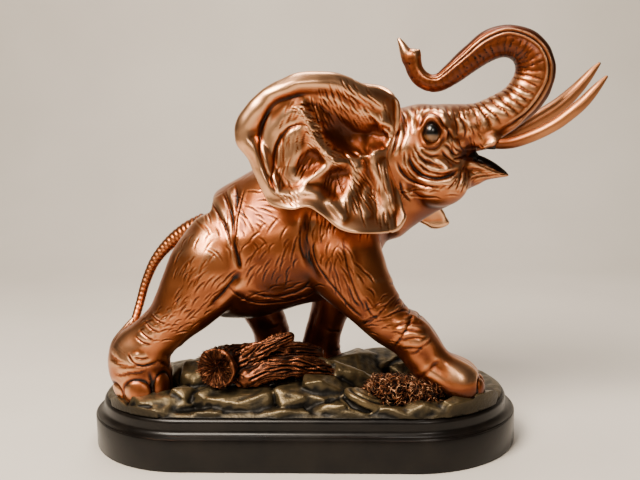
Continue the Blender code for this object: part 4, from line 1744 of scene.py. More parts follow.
    def strokes(self) -> list[Fold]:
        """Draws the fine lines that run out from the ear's root to its rim.

        Returns:
            The lines as folds.
        """
        seed, apart = (70, 1.0) if self.plan.side is Side.NEAR else (90, 1.5)
        patches = (
            ((0, 213), (10, 4), 60, 20, 1.8, 13, 0.5, 0.4),
            ((-4, 190), (15, 4), 84, 10, 1.8, 15, 0.5, 0.42),
            ((4, 199), (11, 5), 76, 14, 1.9, 14, 0.52, 0.45),
            ((11.5, 187), (8, 6), 64, 10, 1.9, 11, 0.5, 0.5),
            ((27, 175), (9, 7), 62, 10, 1.9, 11, 0.5, 0.5),
            ((40, 168), (18, 9), 116, -30, 2.1, 19, 0.46, 0.5),
            ((55, 166), (21, 7), 100, -12, 2.2, 20, 0.46, 0.5),
            ((34, 229), (9, 22), 116, -26, 1.8, 14, 0.38, 0.5),
            ((57, 208), (11, 6), 104, -10, 1.8, 14, 0.38, 0.5),
            ((9, 216), (6, 5), -24, 20, 1.5, 8, 0.42, 0.8), ((14, 208), (6, 5), -26, 20, 1.5, 8, 0.42, 0.8),
            ((17, 199), (6, 5), -34, 20, 1.5, 8, 0.42, 0.8),
            ((25, 190.5), (6, 4), -30, 20, 1.5, 8, 0.42, 0.8),
            ((27, 219), (9, 15), 122, -20, 1.7, 14, 0.46, 0.85),
            ((44, 217), (8, 10), 128, -20, 1.8, 13, 0.44, 0.6),
            ((36, 211), (10, 16), 124, -20, 2.4, 14, 0.4, 0.35),
            ((0, 168), (9, 5), 130, 20, 2.0, 8, 0.36, 0.35),
        )
        made: list[Fold] = []
        for number, patch in enumerate(patches, seed):
            hatch = Hatch(*patch, number)
            made += replace(hatch, spacing=hatch.spacing * apart).strokes()
        return made

    def build(self) -> bpy.types.Object:
        """Returns:
            The piece.
        """
        skin = self.skin()
        skin.relax(2, 0.4)
        skin.height += 0.3 * noise(skin.points, 14, 9)
        skin.raise_relief()
        skin.carve(skin.side_chart(self.plan.side, 0.02, 0.2), self.strokes())
        skin.raise_relief()
        skin.age(0.9, 0.8)
        self.shade(skin)
        return finished(self.plan.name, skin, self.copper.material())


# ---------------------------------------------------------------- tusks, eyes, tail


@dataclass
class Tusks:
    """The two tusks: smooth, round and tapering, rising outward from under the trunk's root."""

    near: Limb = Limb((
        (114, -5, 197, 4, 4), (122, -9, 195, 3.7, 4), (129, -13.5, 194.4, 3.6, 3.8),
        (136, -17.5, 195.4, 3.7, 3.7), (145, -20, 198.6, 3.8, 3.7), (153, -21.5, 202.2, 3.8, 3.8),
        (161.5, -23, 207.2, 3.9, 3.9), (170.3, -24, 214.1, 3.9, 3.9), (176.2, -24, 219.3, 3.6, 3.6),
        (181, -24, 224.6, 3.1, 3.1), (185.3, -24, 229.6, 2.2, 2.2), (189, -24, 233.6, 1, 1),
    ), 8, 36)
    far: Limb = Limb((
        (116, 13, 194, 6, 6), (134, 16.5, 197.6, 6, 6), (148.1, 18, 203.6, 5.8, 5.8),
        (160.8, 19, 210.4, 5.8, 5.8), (170.3, 19.3, 217, 5.2, 5.2), (180, 20, 225.8, 4.3, 4.3),
        (186, 20, 232.4, 3.5, 3.5), (191, 20, 238.4, 2.4, 2.4), (195, 20, 242.8, 1, 1),
    ), 8, 36)
    copper: PlatedCopper = field(default_factory=lambda: PlatedCopper(
        "smooth_plated_copper", ((0.0, "#E8B98C"), (0.2, "#B87A4C"), (0.43, "#743C1A"), (0.85, "#180B04")),
        gloss=(0.33, 0.6),
    ))

    def shade(self, tusk: Limb) -> np.ndarray:
        """Works out a tusk's tone with painted shade: darker at its root under the trunk and along its
        underside.

        Args:
            tusk: the tusk.

        Returns:
            The patina at each point of its mesh.
        """
        x, _, z = tusk.mesh()[0].T
        # Painted shade at the root and on the underside, over a pale base.
        root = 1 - smooth_step(x, 126, 158)
        low = smooth_step(tusk.runs()[0, 2] + 0.9 * (x - 116) - z, 0, 8)
        return 0.13 + 0.22 * root + 0.14 * low

    def build(self) -> bpy.types.Object:
        """Builds, dresses and seats both tusks as one piece.

        Returns:
            The piece.
        """
        pair = [self.near, self.far]
        mesh = mesh_of("tusks", *joined(pair))
        store(mesh, "patina", np.concatenate([self.shade(tusk) for tusk in pair]))
        obj = new_object("tusks", mesh)
        close_up(obj)
        dress(obj, self.copper.material())
        return seat(obj)


@dataclass
class Eyes:
    """The eyeballs, seated behind their lids."""

    gloss: GlossyEye = field(default_factory=GlossyEye)

    def build(self) -> bpy.types.Object:
        """Builds, dresses and seats both eyeballs as one piece.

        Returns:
            The piece.
        """
        near = Mass(EYE_CENTRE, EYE_HALF)
        obj = new_object("eyeballs", mesh_of("eyeballs", *joined([near, near.mirrored()])))
        close_up(obj)
        dress(obj, self.gloss.material())
        return seat(obj)


def modifier_inputs(obj: bpy.types.Object, tree: bpy.types.NodeTree, values: dict[str, object]) -> None:
    """Puts a geometry tree on an object as its modifier.

    Args:
        obj: the object.
        tree: the tree.
        values: what its inputs are set to, by name.
    """
    modifier = obj.modifiers.new(tree.name, "NODES")
    modifier.node_group = tree
    for item in tree.interface.items_tree:
        if item.item_type == "SOCKET" and item.in_out == "INPUT" and item.name in values:
            modifier[item.identifier] = values[item.name]


def new_tree(name: str, **inputs: str) -> tuple[bpy.types.NodeTree, bpy.types.bpy_prop_collection]:
    """Starts a geometry tree.

    Args:
        name: what the tree makes.
        **inputs: by the kind of socket, such as Float, its further inputs' names between commas.

    Returns:
        The tree and what its inputs give.
    """
    tree = bpy.data.node_groups.new(name, "GeometryNodeTree")
    tree.interface.new_socket("Geometry", in_out="INPUT", socket_type="NodeSocketGeometry")
    for kind, labels in inputs.items():
        for label in labels.split(", "):
            tree.interface.new_socket(label, in_out="INPUT", socket_type="NodeSocket" + kind)
    tree.interface.new_socket("Geometry", in_out="OUTPUT", socket_type="NodeSocketGeometry")
    return tree, add_node(tree, "NodeGroupInput").outputs


def end_tree(tree: bpy.types.NodeTree, geometry: bpy.types.Node, material: bpy.types.NodeSocket) -> None:
    """Ends a tree in realised instances that carry the finish.

    Args:
        tree: the tree.
        geometry: the node that gives the geometry.
        material: the socket that gives the finish.
    """
    real = add_node(tree, "GeometryNodeRealizeInstances", {"Geometry": geometry})
    done = add_node(tree, "GeometryNodeSetMaterial", {"Geometry": real, "Material": material})
    add_node(tree, "NodeGroupOutput", {0: done})


def plain(obj: bpy.types.Object) -> bpy.types.Object:
    """Turns what an object's tree makes into a mesh of its own.

    Args:
        obj: the object, which the new one replaces.

    Returns:
        The new object, under the same name.
    """
    mesh = evaluated(obj)
    name = obj.name
    bpy.data.objects.remove(obj)
    made = new_object(name, mesh)
    mesh.name = name
    close_up(made)
    return made


def line_object(name: str, points: np.ndarray, radii: np.ndarray | None = None) -> bpy.types.Object:
    """Makes a line as a mesh of edges.

    Args:
        name: the line's name.
        points: its points in mm.
        radii: its radius at each point in mm, or None.

    Returns:
        The object.
    """
    mesh = bpy.data.meshes.new(name)
    mesh.from_pydata((points * MM).tolist(), [(i, i + 1) for i in range(len(points) - 1)], [])
    if radii is not None:
        store(mesh, "girth", radii * MM)
    return new_object(name, mesh)


@dataclass
class Tail:
    """The tail: a ringed cord along a falling curve, with a tuft lying on the heel."""

    stations: Run = (
        (-62, 0, 143, 9, 9), (-74, 0, 139.6, 6.4, 6.4), (-86, -1, 132, 4.6, 4.6),
        (-96.2, -3, 120.5, 3.6, 3.6), (-102.6, -6, 106.5, 3.1, 3.1), (-106.2, -11, 92.5, 2.9, 2.9),
        (-108.7, -18, 82, 2.8, 2.8), (-112, -24, 77, 2.8, 2.8),
    )
    ring_spacing: float = 3.1
    ring_height: float = 0.07
    sides: int = 20
    copper: PlatedCopper = field(default_factory=lambda: PlatedCopper("ringed_plated_copper"))

    def tree(self) -> bpy.types.NodeTree:
        """Makes the tree that sweeps a ringed round section along the line.

        Returns:
            The tree.
        """
        tree, take = new_tree(
            "ringed_cord", Float="Ring Spacing, Ring Height", Int="Sides", Material="Material"
        )
        line = add_node(tree, "GeometryNodeMeshToCurve", {"Mesh": take["Geometry"]})
        along = add_node(tree, "GeometryNodeSplineParameter").outputs["Length"]
        turns = add_node(tree, "ShaderNodeMath", {0: along, 1: take["Ring Spacing"]}, operation="DIVIDE")
        phase = add_node(tree, "ShaderNodeMath", {0: turns, 1: math.pi}, operation="MULTIPLY")
        wave = add_node(tree, "ShaderNodeMath", {0: phase}, operation="SINE")
        crest = add_node(tree, "ShaderNodeMath", {0: wave}, operation="ABSOLUTE")
        swell = add_node(
            tree, "ShaderNodeMath", {0: crest, 1: take["Ring Height"], 2: 0.93}, operation="MULTIPLY_ADD"
        )
        girth = add_node(tree, "GeometryNodeInputNamedAttribute", {"Name": "girth"}, data_type="FLOAT")
        radius = add_node(tree, "ShaderNodeMath", {0: girth, 1: swell}, operation="MULTIPLY")
        section = add_node(
            tree, "GeometryNodeCurvePrimitiveCircle", {"Resolution": take["Sides"], "Radius": 1.0}
        )
        hollow = add_node(tree, "ShaderNodeMath", {0: crest, 1: -0.22, 2: 0.4}, operation="MULTIPLY_ADD")
        toned = add_node(
            tree, "GeometryNodeStoreNamedAttribute", {"Geometry": line, "Name": "patina", "Value": hollow},
            data_type="FLOAT", domain="POINT",
        )
        tube = add_node(tree, "GeometryNodeCurveToMesh", {
            "Curve": toned, "Profile Curve": section, "Scale": radius, "Fill Caps": True,
        })
        end_tree(tree, tube, take["Material"])
        return tree

    def build(self) -> bpy.types.Object:
        """Returns:
            The piece.
        """
        runs = curve_through(np.array(self.stations, float), 26)
        obj = line_object("tail", runs[:, :3], runs[:, 3])
        modifier_inputs(obj, self.tree(), {
            "Ring Spacing": self.ring_spacing * MM, "Ring Height": self.ring_height, "Sides": self.sides,
            "Material": self.copper.material(),
        })
        return seat(plain(obj))


# ---------------------------------------------------------------- plinth, ground, log and grass


@dataclass
class Plinth:
    """The moulded base: a stadium in plan, its face, cove and rounded top swept round it."""

    face_height: float = 21.0
    cove_width: float = 4.5
    cove_height: float = 4.0
    rim: float = 3.2
    foot: float = 0.8
    turns: int = 56
    crease_degrees: float = 35.0
    lacquer: BlackLacquer = field(default_factory=BlackLacquer)

    def profile(self) -> np.ndarray:
        """Draws the moulding from the middle of the underside to the middle of the top.

        Returns:
            Its points in mm: how far in from the edge, and how high.
        """
        radius = PLINTH_DEPTH / 2
        top = PLINTH_TOP
        face = self.face_height
        made = [(radius, 0.0), (self.foot, 0.0), (self.foot * 0.3, self.foot * 0.3), (0.0, self.foot)]
        made += [(0.0, face - 0.9), (0.27, face - 0.27), (0.9, face)]
        bows = [(math.sin(turn), 1 - math.cos(turn)) for turn in np.linspace(0, np.pi / 2, 12)]
        made += [(1.2 + self.cove_width * s, face + 0.6 + self.cove_height * c) for s, c in bows]
        start = made[-1][0] + 0.3
        made += [(start + self.rim * c, top - self.rim + self.rim * s) for s, c in bows]
        return np.array([*made, (radius, top)])

    def tree(self) -> bpy.types.NodeTree:
        """Makes the tree that sweeps the moulding round a filleted oblong.

        Returns:
            The tree.
        """
        tree, take = new_tree("moulding", Float="Length, Depth", Int="Turns", Material="Material")
        profile = add_node(tree, "GeometryNodeMeshToCurve", {"Mesh": take["Geometry"]})
        oblong = add_node(tree, "GeometryNodeCurvePrimitiveQuadrilateral", {
            "Width": take["Length"], "Height": take["Depth"],
        })
        half = add_node(tree, "ShaderNodeMath", {0: take["Depth"], 1: 0.49999}, operation="MULTIPLY")
        path = add_node(
            tree, "GeometryNodeFilletCurve",
            {"Curve": oblong, "Radius": half, "Count": take["Turns"], "Limit Radius": True}, mode="POLY",
        )
        level = add_node(tree, "GeometryNodeSetCurveNormal", {"Curve": path}, mode="Z_UP")
        swept = add_node(tree, "GeometryNodeCurveToMesh", {"Curve": level, "Profile Curve": profile})
        merged = add_node(tree, "GeometryNodeMergeByDistance", {"Geometry": swept, "Distance": 1e-4})
        end_tree(tree, merged, take["Material"])
        return tree

    def build(self) -> bpy.types.Object:
        """Returns:
            The piece.
        """
        low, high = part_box(PLINTH)
        profile = self.profile()
        section = np.stack([-profile[:, 0], -profile[:, 1], np.zeros(len(profile))], axis=1)
        obj = line_object("moulded_plinth", section)
        modifier_inputs(obj, self.tree(), {
            "Length": high[0] - low[0], "Depth": high[1] - low[1], "Turns": self.turns,
            "Material": self.lacquer.material(),
        })
        made = plain(obj)
        made.data.set_sharp_from_angle(angle=math.radians(self.crease_degrees))
        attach(made, BODY)
        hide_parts(PLINTH)
        LOG.info("%s: %d faces", made.name, len(made.data.polygons))
        return made


@dataclass(frozen=True)
class Stone:
    """An angular stone: its middle, half sizes and turn, with seeded flat facets."""

    centre: tuple[float, float, float]
    half: tuple[float, float, float]
    turn: float = 0.0
    tilt: float = 0.0
    seed: int = 1
    corners: int = 16

    def mesh(self) -> tuple[np.ndarray, list[tuple[int, ...]]]:
        """Builds the stone as the hull of its corners.

        Returns:
            Its points and faces.
        """
        rng = np.random.default_rng(self.seed)
        count = self.corners
        up = 1 - 2 * (np.arange(count) + 0.5) / count
        turns = np.arange(count) * GOLDEN_TURN + rng.uniform(0, 6)
        out = np.sqrt(1 - up**2)
        ball = np.stack([out * np.cos(turns), out * np.sin(turns), up], axis=1)
        spread = unit(ball + rng.uniform(-0.22, 0.22, (count, 3)))
        spread = np.sign(spread) * np.abs(spread) ** 0.8 * rng.uniform(0.9, 1.05, (count, 1))
        corners = spread * np.array(self.half)
        level, z = turned(corners[:, 0], corners[:, 2], self.tilt)
        x, y = turned(level, corners[:, 1], self.turn)
        placed = np.stack([x, y, z], axis=1) + np.array(self.centre)
        shape = bmesh.new()
        for corner in placed:
            shape.verts.new(corner)
        hull = bmesh.ops.convex_hull(shape, input=shape.verts)
        stray = [e for e in hull["geom_interior"] if isinstance(e, bmesh.types.BMVert)]
        bmesh.ops.delete(shape, geom=stray, context="VERTS")
        shape.verts.index_update()
        points = np.array([tuple(v.co) for v in shape.verts])
        faces = [tuple(v.index for v in f.verts) for f in shape.faces]
        shape.free()
        return points, faces


@dataclass(frozen=True)
class Slab:
    """The ground's flat body: a stadium in plan."""

    length: float
    depth: float
    low: float
    high: float
    rounding: float = 2.5

    def mesh(self) -> tuple[np.ndarray, list[tuple[int, ...]]]:
        """Builds the slab with a bevel round its top.

        Returns:
            Its points and faces.
        """
        turns = 24
        rings = []
        for inset, z in ((0.0, self.low), (0.0, self.high - self.rounding), (self.rounding, self.high)):
            radius = self.depth / 2 - inset
            straight = self.length / 2 - self.depth / 2
            for end, start in ((1, -np.pi / 2), (-1, np.pi / 2)):
                bow = start + np.linspace(0, np.pi, turns)
                rings.append(np.stack([
                    end * straight + radius * np.cos(bow), radius * np.sin(bow), np.full(turns, z)
                ], axis=1))
        return np.vstack(rings), tube_faces(3, 2 * turns)


@dataclass
class Ground:
    """The rocky ground: slabs and angular boulders cast together, reaching the plinth's rim."""

    seat_gap: float = 0.3
    inset: float = 7.5
    voxel: float = 0.85
    dish: Mass = Mass((43, -49, 40.5), (15, 10, 4.6), -24)
    finish: BronzeWash = field(default_factory=BronzeWash)
    stones: tuple[Stone, ...] = (
        Stone((-26, -46, 35), (18, 12, 13), 2, 4, 11, 13),
        Stone((-54, -45, 38), (14, 10, 11), -8, 6, 12, 12),
        Stone((-72, -43, 39), (11, 9, 10), 20, -8, 13, 12),
        Stone((-80, -51, 33), (14, 9, 6.5), 12, -12, 14, 10),
        Stone((-57, -55, 32), (17, 7, 5.5), 4, 8, 15, 10),
        Stone((-97, -54, 33), (20, 8, 5.5), -8, 2, 16, 10),
        Stone((-112, -42, 34), (12, 11, 7), -50, 0, 17, 11),
        Stone((-3, -45, 38), (17, 12, 10), 8, -20, 18, 11),
        Stone((-10, -55, 32.5), (20, 7, 5.5), 0, 6, 19, 10),
        Stone((19, -38, 42.5), (21, 12, 11), 22, -20, 20, 14),
        Stone((20, -52, 34), (18, 9, 7.5), -6, 10, 21, 10),
        Stone((36, -56, 32), (18, 6, 5.5), 4, -6, 22, 10),
        Stone((62, -54, 33), (22, 8, 6.5), -4, -4, 23, 10),
        Stone((82, -53, 34.5), (19, 8, 7.5), 8, -4, 24, 12),
        Stone((100, -50, 36), (18, 9, 8), 18, -4, 25, 14),
        Stone((114, -38, 36), (16, 15, 8.5), 40, 0, 26, 14),
        Stone((70, -32, 40), (22, 16, 9), 0, 0, 27, 16), Stone((14, -22, 45), (17, 14, 14), 0, 10, 28, 16),
        Stone((-64, -24, 45), (15, 15, 15), 0, 0, 29, 15),
        Stone((-76, -14, 44), (11, 13, 10), 20, 0, 30, 14), Stone((34, 6, 43), (22, 20, 14), 10, 0, 31, 16),
        Stone((50, 22, 42), (20, 18, 11), -10, 0, 32, 16), Stone((74, 18, 40), (20, 20, 12), 0, 0, 33, 16),
        Stone((94, 6, 36), (20, 22, 7), 0, -6, 34, 14), Stone((-50, 10, 40), (22, 18, 10), 10, 0, 35, 16),
        Stone((-84, 12, 38), (20, 22, 8), 0, 8, 36, 15), Stone((-108, 4, 34), (16, 22, 5), 0, 0, 37, 13),
        Stone((-44, 40, 36), (20, 14, 7), 14, 0, 38, 14), Stone((-8, 46, 36), (20, 12, 7), -8, 0, 39, 14),
        Stone((28, 46, 36), (20, 12, 8), 6, 0, 40, 14), Stone((64, 44, 35), (18, 13, 6), -16, 0, 41, 14),
        Stone((-78, 40, 35), (16, 12, 6), 30, 0, 42, 13), Stone((-2, 8, 40), (24, 18, 10), 0, 0, 43, 16),
        Stone((-36, -42, 37.5), (38, 15, 9.5), 3, -2, 44, 20),
        Stone((6, -38, 39), (32, 15, 10), -4, 3, 45, 20), Stone((44, -42, 36.5), (26, 15, 8), 6, 2, 46, 18),
        Stone((36, -24, 46), (19, 10, 8), 16, -26, 47, 12),
        Stone((-84, -44, 36.5), (24, 13, 8), 4, -6, 48, 16),
    )

    def base(self) -> Skin:
        """Fuses the slab and the stones.

        Returns:
            The skin before carving.
        """
        slab = Slab(
            PLINTH_LENGTH - 2 * self.inset, PLINTH_DEPTH - 2 * self.inset,
            PLINTH_TOP - 5, PLINTH_TOP + 2.6,
        )
        skin = fused([slab, *self.stones, self.dish], self.voxel)
        skin.relax(5)
        return skin

    def trim(self, skin: Skin) -> None:
        """Keeps the ground above the plinth and inside its top edge.

        Args:
            skin: the ground.
        """
        floor = PLINTH_TOP + self.seat_gap
        skin.points[:, 2] = np.maximum(skin.points[:, 2], floor)
        radius = PLINTH_DEPTH / 2 - self.inset + 1.2
        straight = PLINTH_LENGTH / 2 - PLINTH_DEPTH / 2
        spine = np.clip(skin.points[:, 0], -straight, straight)
        out = skin.points[:, :2] - np.stack([spine, np.zeros(len(spine))], axis=1)
        far = np.linalg.norm(out, axis=1)
        pull = np.minimum(1.0, radius / np.maximum(far, 1e-6))
        skin.points[:, 0] = spine + out[:, 0] * pull
        skin.points[:, 1] = out[:, 1] * pull

    def build(self) -> bpy.types.Object:
        """Returns:
            The piece.
        """
        skin = self.base()
        top = smooth_step(skin.points[:, 2], PLINTH_TOP + 0.5, PLINTH_TOP + 3)
        skin.height += top * (0.4 * noise(skin.points, 13, 61, 3) + 0.08 * noise(skin.points, 4, 62))
        gap = skin.points - self.dish.centre
        along = turned(gap[:, 0], gap[:, 2], -self.dish.turn)[0]
        ring = np.hypot(along / self.dish.half[0], gap[:, 1] / self.dish.half[1])
        on_dish = (ring < 1.05) & (np.abs(gap[:, 2]) < 12)
        skin.height += 0.5 * on_dish * np.cos(2 * np.pi * ring * 3.2) * smooth_step(ring, 0.3, 0.6)
        skin.raise_relief()
        self.trim(skin)
        skin.age(1.1, 2.0)
        # Over a darker wash: painted shade low down and on downward faces, painted light on upward faces,
        # paler on the dish.
        low = 1 - smooth_step(skin.points[:, 2], 34, 40)
        skin.patina = np.clip(skin.patina + 0.36 + 0.14 * (low - skin.normals()[:, 2] - on_dish), 0, 1)
        return finished("rocky_ground", skin, self.finish.material())


@dataclass(frozen=True)
class Scatter:
    """Thin strands strewn over a surface: splinters or blades, each tapering along a bent spine.

    Attributes:
        count: how many strands.
        length: a strand's length in mm, and width its thickness at the root.
        middle: where its spine bends, and end where it ends, in lengths, +Z standing off the surface.
        lean: how far a strand may tip either way, in radians.
        fan: how strongly strands turn away from the centre, in place of standing straight out.
        shade: the patina of the brightest and of the darkest strand.
    """

    name: str
    count: int
    length: float
    width: float
    middle: tuple[float, float, float]
    end: tuple[float, float, float]
    lean: float
    shade: tuple[float, float]
    seed: int
    fan: float = 0.0
    centre: tuple[float, float, float] = (0.0, 0.0, 0.0)

    def tree(self) -> bpy.types.NodeTree:
        """Makes the tree that plants the strands.

        Returns:
            The tree.
        """
        tree, take = new_tree(
            self.name, Float="Density, Length, Width, Lean, Fan, Brightest, Darkest", Int="Seed",
            Vector="Middle, End, Centre", Material="Material",
        )
        seed = take["Seed"]
        spots = add_node(tree, "GeometryNodeDistributePointsOnFaces", {
            "Mesh": take["Geometry"], "Density": take["Density"], "Seed": seed,
        })
        spine = add_node(tree, "GeometryNodeCurveQuadraticBezier", {
            "Resolution": 6, "Start": (0, 0, -0.2), "Middle": take["Middle"], "End": take["End"],
        })
        reached = add_node(tree, "GeometryNodeSplineParameter")
        taper = add_node(tree, "ShaderNodeMapRange", {0: reached, 3: 1.0, 4: 0.2})
        wide = add_node(tree, "ShaderNodeMath", {0: take["Width"], 1: take["Length"]}, operation="DIVIDE")
        radius = add_node(tree, "ShaderNodeMath", {0: taper, 1: wide}, operation="MULTIPLY")
        section = add_node(tree, "GeometryNodeCurvePrimitiveCircle", {"Resolution": 5, "Radius": 0.5})
        strand = add_node(tree, "GeometryNodeCurveToMesh", {
            "Curve": spine, "Profile Curve": section, "Scale": radius, "Fill Caps": True,
        })
        here = add_node(tree, "GeometryNodeInputPosition")
        out = add_node(tree, "ShaderNodeVectorMath", {0: here, 1: take["Centre"]}, operation="SUBTRACT")
        ray = add_node(tree, "ShaderNodeVectorMath", {0: out}, operation="NORMALIZE")
        fanned = add_node(tree, "ShaderNodeVectorMath", {0: ray, "Scale": take["Fan"]}, operation="SCALE")
        way = add_node(tree, "ShaderNodeVectorMath", {0: spots.outputs["Normal"], 1: fanned}, operation="ADD")
        lay = add_node(tree, "FunctionNodeAlignRotationToVector", {"Vector": way}, axis="Z")
        back = add_node(tree, "ShaderNodeMath", {0: take["Lean"], 1: -1.0}, operation="MULTIPLY")
        least = add_node(tree, "ShaderNodeCombineXYZ", {0: back, 1: back, 2: -math.pi})
        most = add_node(tree, "ShaderNodeCombineXYZ", {0: take["Lean"], 1: take["Lean"], 2: math.pi})
        lean = add_node(
            tree, "FunctionNodeRandomValue", {0: least, 1: most, "Seed": seed}, data_type="FLOAT_VECTOR"
        )
        posed = add_node(
            tree, "FunctionNodeRotateRotation", {"Rotation": lay, "Rotate By": lean}, rotation_space="LOCAL"
        )
        vary = add_node(tree, "FunctionNodeRandomValue", {2: 0.6, 3: 1.25, "Seed": seed}, data_type="FLOAT")
        scale = add_node(
            tree, "ShaderNodeMath", {0: vary.outputs[1], 1: take["Length"]}, operation="MULTIPLY"
        )
        laid = add_node(tree, "GeometryNodeInstanceOnPoints", {
            "Points": spots, "Instance": strand, "Rotation": posed, "Scale": scale,
        })
        shade = add_node(
            tree, "FunctionNodeRandomValue", {2: take["Brightest"], 3: take["Darkest"], "Seed": 5},
            data_type="FLOAT",
        )
        toned = add_node(
            tree, "GeometryNodeStoreNamedAttribute",
            {"Geometry": laid, "Name": "patina", "Value": shade.outputs[1]},
            data_type="FLOAT", domain="INSTANCE",
        )
        end_tree(tree, toned, take["Material"])
        return tree

    def over(self, obj: bpy.types.Object, material: bpy.types.Material) -> bpy.types.Object:
        """Plants the strands on an object's faces.

        Args:
            obj: the object, which the strands replace.
            material: their finish.

        Returns:
            The strands.
        """
        area = sum(face.area for face in obj.data.polygons)
        modifier_inputs(obj, self.tree(), {
            "Density": self.count / area, "Length": self.length * MM, "Width": self.width * MM,
            "Lean": self.lean, "Fan": self.fan, "Brightest": self.shade[0], "Darkest": self.shade[1],
            "Seed": self.seed, "Middle": self.middle, "End": self.end,
            "Centre": tuple(c * MM for c in self.centre), "Material": material,
        })
        return plain(obj)


@dataclass
class FallenLog:
    """A broken log on the stones: fibrous bark, a splintered end that faces the viewer, and a branch."""

    trunk: Limb = Limb((
        (-50, -47, 60, 12.4, 12.8), (-47, -38, 59, 12.2, 12.2), (-38, -28, 58, 11, 11),
        (-22, -20, 58, 10, 10), (-4, -14, 58, 9, 9.5), (12, -8, 54, 8, 8.5),
    ), 8, 48, 0.16)
    branch: Limb = Limb((
        (-41, -38, 57, 6, 6), (-32, -37, 63, 5, 5), (-19, -35, 70.5, 4.2, 4.2), (-5, -33, 75.5, 2.8, 2.8),
    ), 8, 28)
    bark: Limb = Limb((
        (-32, -40, 52, 7, 8), (-14, -38, 57, 6.5, 7), (4, -33, 56, 7, 7), (20, -26, 50, 5, 6),
    ), 8, 28)
    voxel: float = 0.55
    splinters: Scatter = Scatter(
        "log_splinters", 620, 3.4, 0.7, (0.05, 0.0, 0.5), (0.16, 0.0, 1.0), 0.34, (0.05, 0.6), 3, 5.0,
        (-49.6, -45.5, 60),
    )
    finish: BrushedBark = field(default_factory=BrushedBark)

    def skin(self) -> Skin:
        """Fuses the log and cuts its bark furrows.

        Returns:
            The log's skin.
        """
        skin = fused([self.trunk, self.branch, self.bark], self.voxel)
        skin.relax(3)
        rng = np.random.default_rng(81)
        for limb, rows, scale, long in (
            (self.trunk, 150, 11.0, 70.0), (self.branch, 70, 5.0, 42.0), (self.bark, 90, 7.0, 70.0),
        ):
            chart = skin.limb_chart(limb, -2, 120, 1.6, scale)
            folds = []
            for _ in range(rows):
                start = rng.uniform(-2, long - 8)
                reach = rng.uniform(8, 22)
                turn = rng.uniform(-3.1, 3.1) * scale
                drift = rng.uniform(-3.5, 3.5)
                path = tuple(
                    (start + s * reach, turn + drift * s + rng.uniform(-0.5, 0.5)) for s in (0, 0.35, 0.7, 1)
                )
                folds.append(Fold(path, rng.uniform(0.45, 0.7), rng.uniform(0.7, 1.4), 0.6, taper=0.3))
            skin.carve(chart, folds)
        skin.height += 0.5 * noise(skin.points, 6, 82)
        skin.raise_relief()
        return skin

    def build(self) -> list[bpy.types.Object]:
        """Returns:
            The two pieces.
        """
        material = self.finish.material()
        skin = self.skin()
        skin.age(1.3, 0.8)
        skin.patina = np.clip(skin.patina + 0.2, 0, 1)
        log = finished("fallen_log", skin, material)
        points, faces = self.trunk.mesh()
        ring = points[: self.trunk.sides * 3]
        cap = [f for f in faces if max(f) < len(ring)]
        end = new_object(self.splinters.name, mesh_of(self.splinters.name, ring, cap))
        return [log, seat(self.splinters.over(end, material))]


@dataclass
class GrassTuft:
    """A low bed of coarse curled grass over a small mound, in front of the fore foot."""

    mound: tuple[Stone, ...] = (
        Stone((62, -42, 43), (23, 11, 10), 2, -6, 51, 26), Stone((79, -46, 42), (12, 7, 8), 0, 0, 52, 16),
    )
    voxel: float = 1.0
    earth: float = 0.85
    bare_height: float = 5.0
    blades: Scatter = Scatter(
        "grass_blades", 1300, 4.6, 0.62, (0.35, 0.1, 0.75), (1.05, 0.35, 0.15), 0.55, (0.0, 0.7), 4
    )
    finish: BrushedBark = field(default_factory=lambda: BrushedBark(
        "copper_brushed_grass", ((0.0, "#E2AC80"), (0.2, "#8A5232"), (0.42, "#341E12"), (0.8, "#0A0604"))
    ))

    def build(self) -> list[bpy.types.Object]:
        """Returns:
            The two pieces.
        """
        material = self.finish.material()
        skin = fused(list(self.mound), self.voxel)
        skin.relax(10)
        skin.height += 0.8 * noise(skin.points, 6, 71)
        skin.raise_relief()
        skin.patina[:] = self.earth
        mound = finished("grass_mound", skin, material)
        planted = new_object(self.blades.name, mound.data.copy())
        top = bmesh.new()
        top.from_mesh(planted.data)
        bare = (PLINTH_TOP + self.bare_height) * MM
        low = [f for f in top.faces if f.calc_center_median().z < bare or f.normal.z < -0.2]
        bmesh.ops.delete(top, geom=low, context="FACES")
        top.to_mesh(planted.data)
        top.free()
        return [mound, seat(self.blades.over(planted, material))]


# ---------------------------------------------------------------- studio


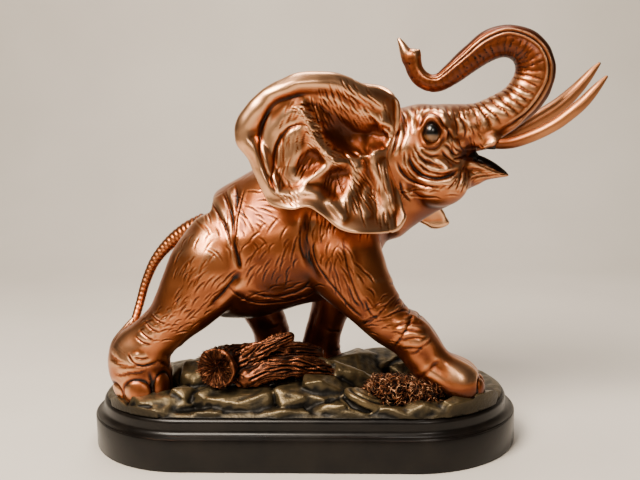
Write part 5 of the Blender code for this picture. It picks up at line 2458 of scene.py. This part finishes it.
@dataclass
class Studio:
    """The pale floor and backdrop, soft lights, and the camera."""

    camera_place: tuple[float, float, float] = (53.0, -582.0, 226.0)
    lens: float = 50.625
    pitch: float = 9.1
    yaw: float = -3.9
    roll: float = -1.2
    board: tuple[tuple[float, str], ...] = ((0.3, "#C9C2B8"), (0.7, "#D0C9BF"))

    def shoot_from(self) -> None:
        """Makes the camera."""
        pitch, yaw, roll = (math.radians(a) for a in (self.pitch, self.yaw, self.roll))
        ahead = np.array([math.sin(yaw) * math.cos(pitch), math.cos(yaw) * math.cos(pitch), -math.sin(pitch)])
        right = np.array([math.cos(yaw), -math.sin(yaw), 0.0])
        up = np.cross(right, ahead)
        across = right * math.cos(roll) + up * math.sin(roll)
        upward = -right * math.sin(roll) + up * math.cos(roll)
        data = bpy.data.cameras.new("camera")
        data.lens = self.lens
        data.sensor_width = 36.0
        data.clip_start = 0.01
        camera = new_object("camera", data)
        pose = Matrix(np.stack([across, upward, -ahead], axis=1).tolist()).to_4x4()
        camera.matrix_world = Matrix.Translation([c * MM for c in self.camera_place]) @ pose
        bpy.context.scene.camera = camera

    def lay_floor(self) -> None:
        """Makes the floor and the curved backdrop behind it."""
        bows = np.linspace(0.1, np.pi / 2, 12)
        runs = [(-1.6, 0.0), (0.55, 0.0)]
        runs += [(0.55 + 0.35 * math.sin(bow), 0.35 * (1 - math.cos(bow))) for bow in bows]
        runs += [(0.9, 1.6)]
        width = 2.2
        points = np.array([(x, y, z) for x in (-width, width) for y, z in runs]) / MM
        count = len(runs)
        faces = [(i, i + 1, count + i + 1, count + i) for i in range(count - 1)]
        floor = new_object("floor", mesh_of("floor", points, faces))
        material, tree, shader, place = new_material("painted_board")
        cloud = add_node(tree, "ShaderNodeTexNoise", {"Vector": place, "Scale": 6.0, "Detail": 3.0})
        tint = add_node(tree, "ShaderNodeValToRGB", {"Fac": cloud})
        feed(tree, shader, {"Base Color": set_ramp(tint, self.board), "Roughness": 0.6})
        dress(floor, material)

    def light(self) -> None:
        """Hangs the soft lights and sets the room's dim fill."""
        for name, place, target, size, power, colour in (
            ("key", (-0.38, -0.62, 0.95), (0.0, 0.0, 0.14), 0.5, 35.0, "#FFF2E2"),
            ("front", (0.4, -1.0, 0.75), (0.02, 0.0, 0.14), 0.3, 3.5, "#FFF4E8"),
            ("top", (0.05, 0.25, 1.1), (0.0, 0.0, 0.15), 0.5, 9.0, "#FFF8F0"),
        ):
            data = bpy.data.lights.new(name, "AREA")
            data.energy = power
            data.size = size
            data.color = linear(colour)[:3]
            aim = Vector(place) - Vector(target)
            pose = aim.to_track_quat("Z", "Y").to_matrix().to_4x4()
            new_object(name, data).matrix_world = Matrix.Translation(place) @ pose
        world = bpy.data.worlds.new("room")
        world.use_nodes = True
        sky = world.node_tree.nodes["Background"]
        sky.inputs["Color"].default_value = linear("#8A8683")
        sky.inputs["Strength"].default_value = 0.13
        bpy.context.scene.world = world


def main() -> None:
    """Builds the whole piece."""
    logging.basicConfig(level=logging.INFO, format="%(name)s %(message)s")
    studio = Studio()
    studio.shoot_from()
    studio.lay_floor()
    studio.light()
    Plinth().build()
    Ground().build()
    FallenLog().build()
    GrassTuft().build()
    Body().build()
    Ear(NEAR_EAR).build()
    Ear(FAR_EAR).build()
    Tusks().build()
    Eyes().build()
    Tail().build()


if __name__ == "__main__":
    main()
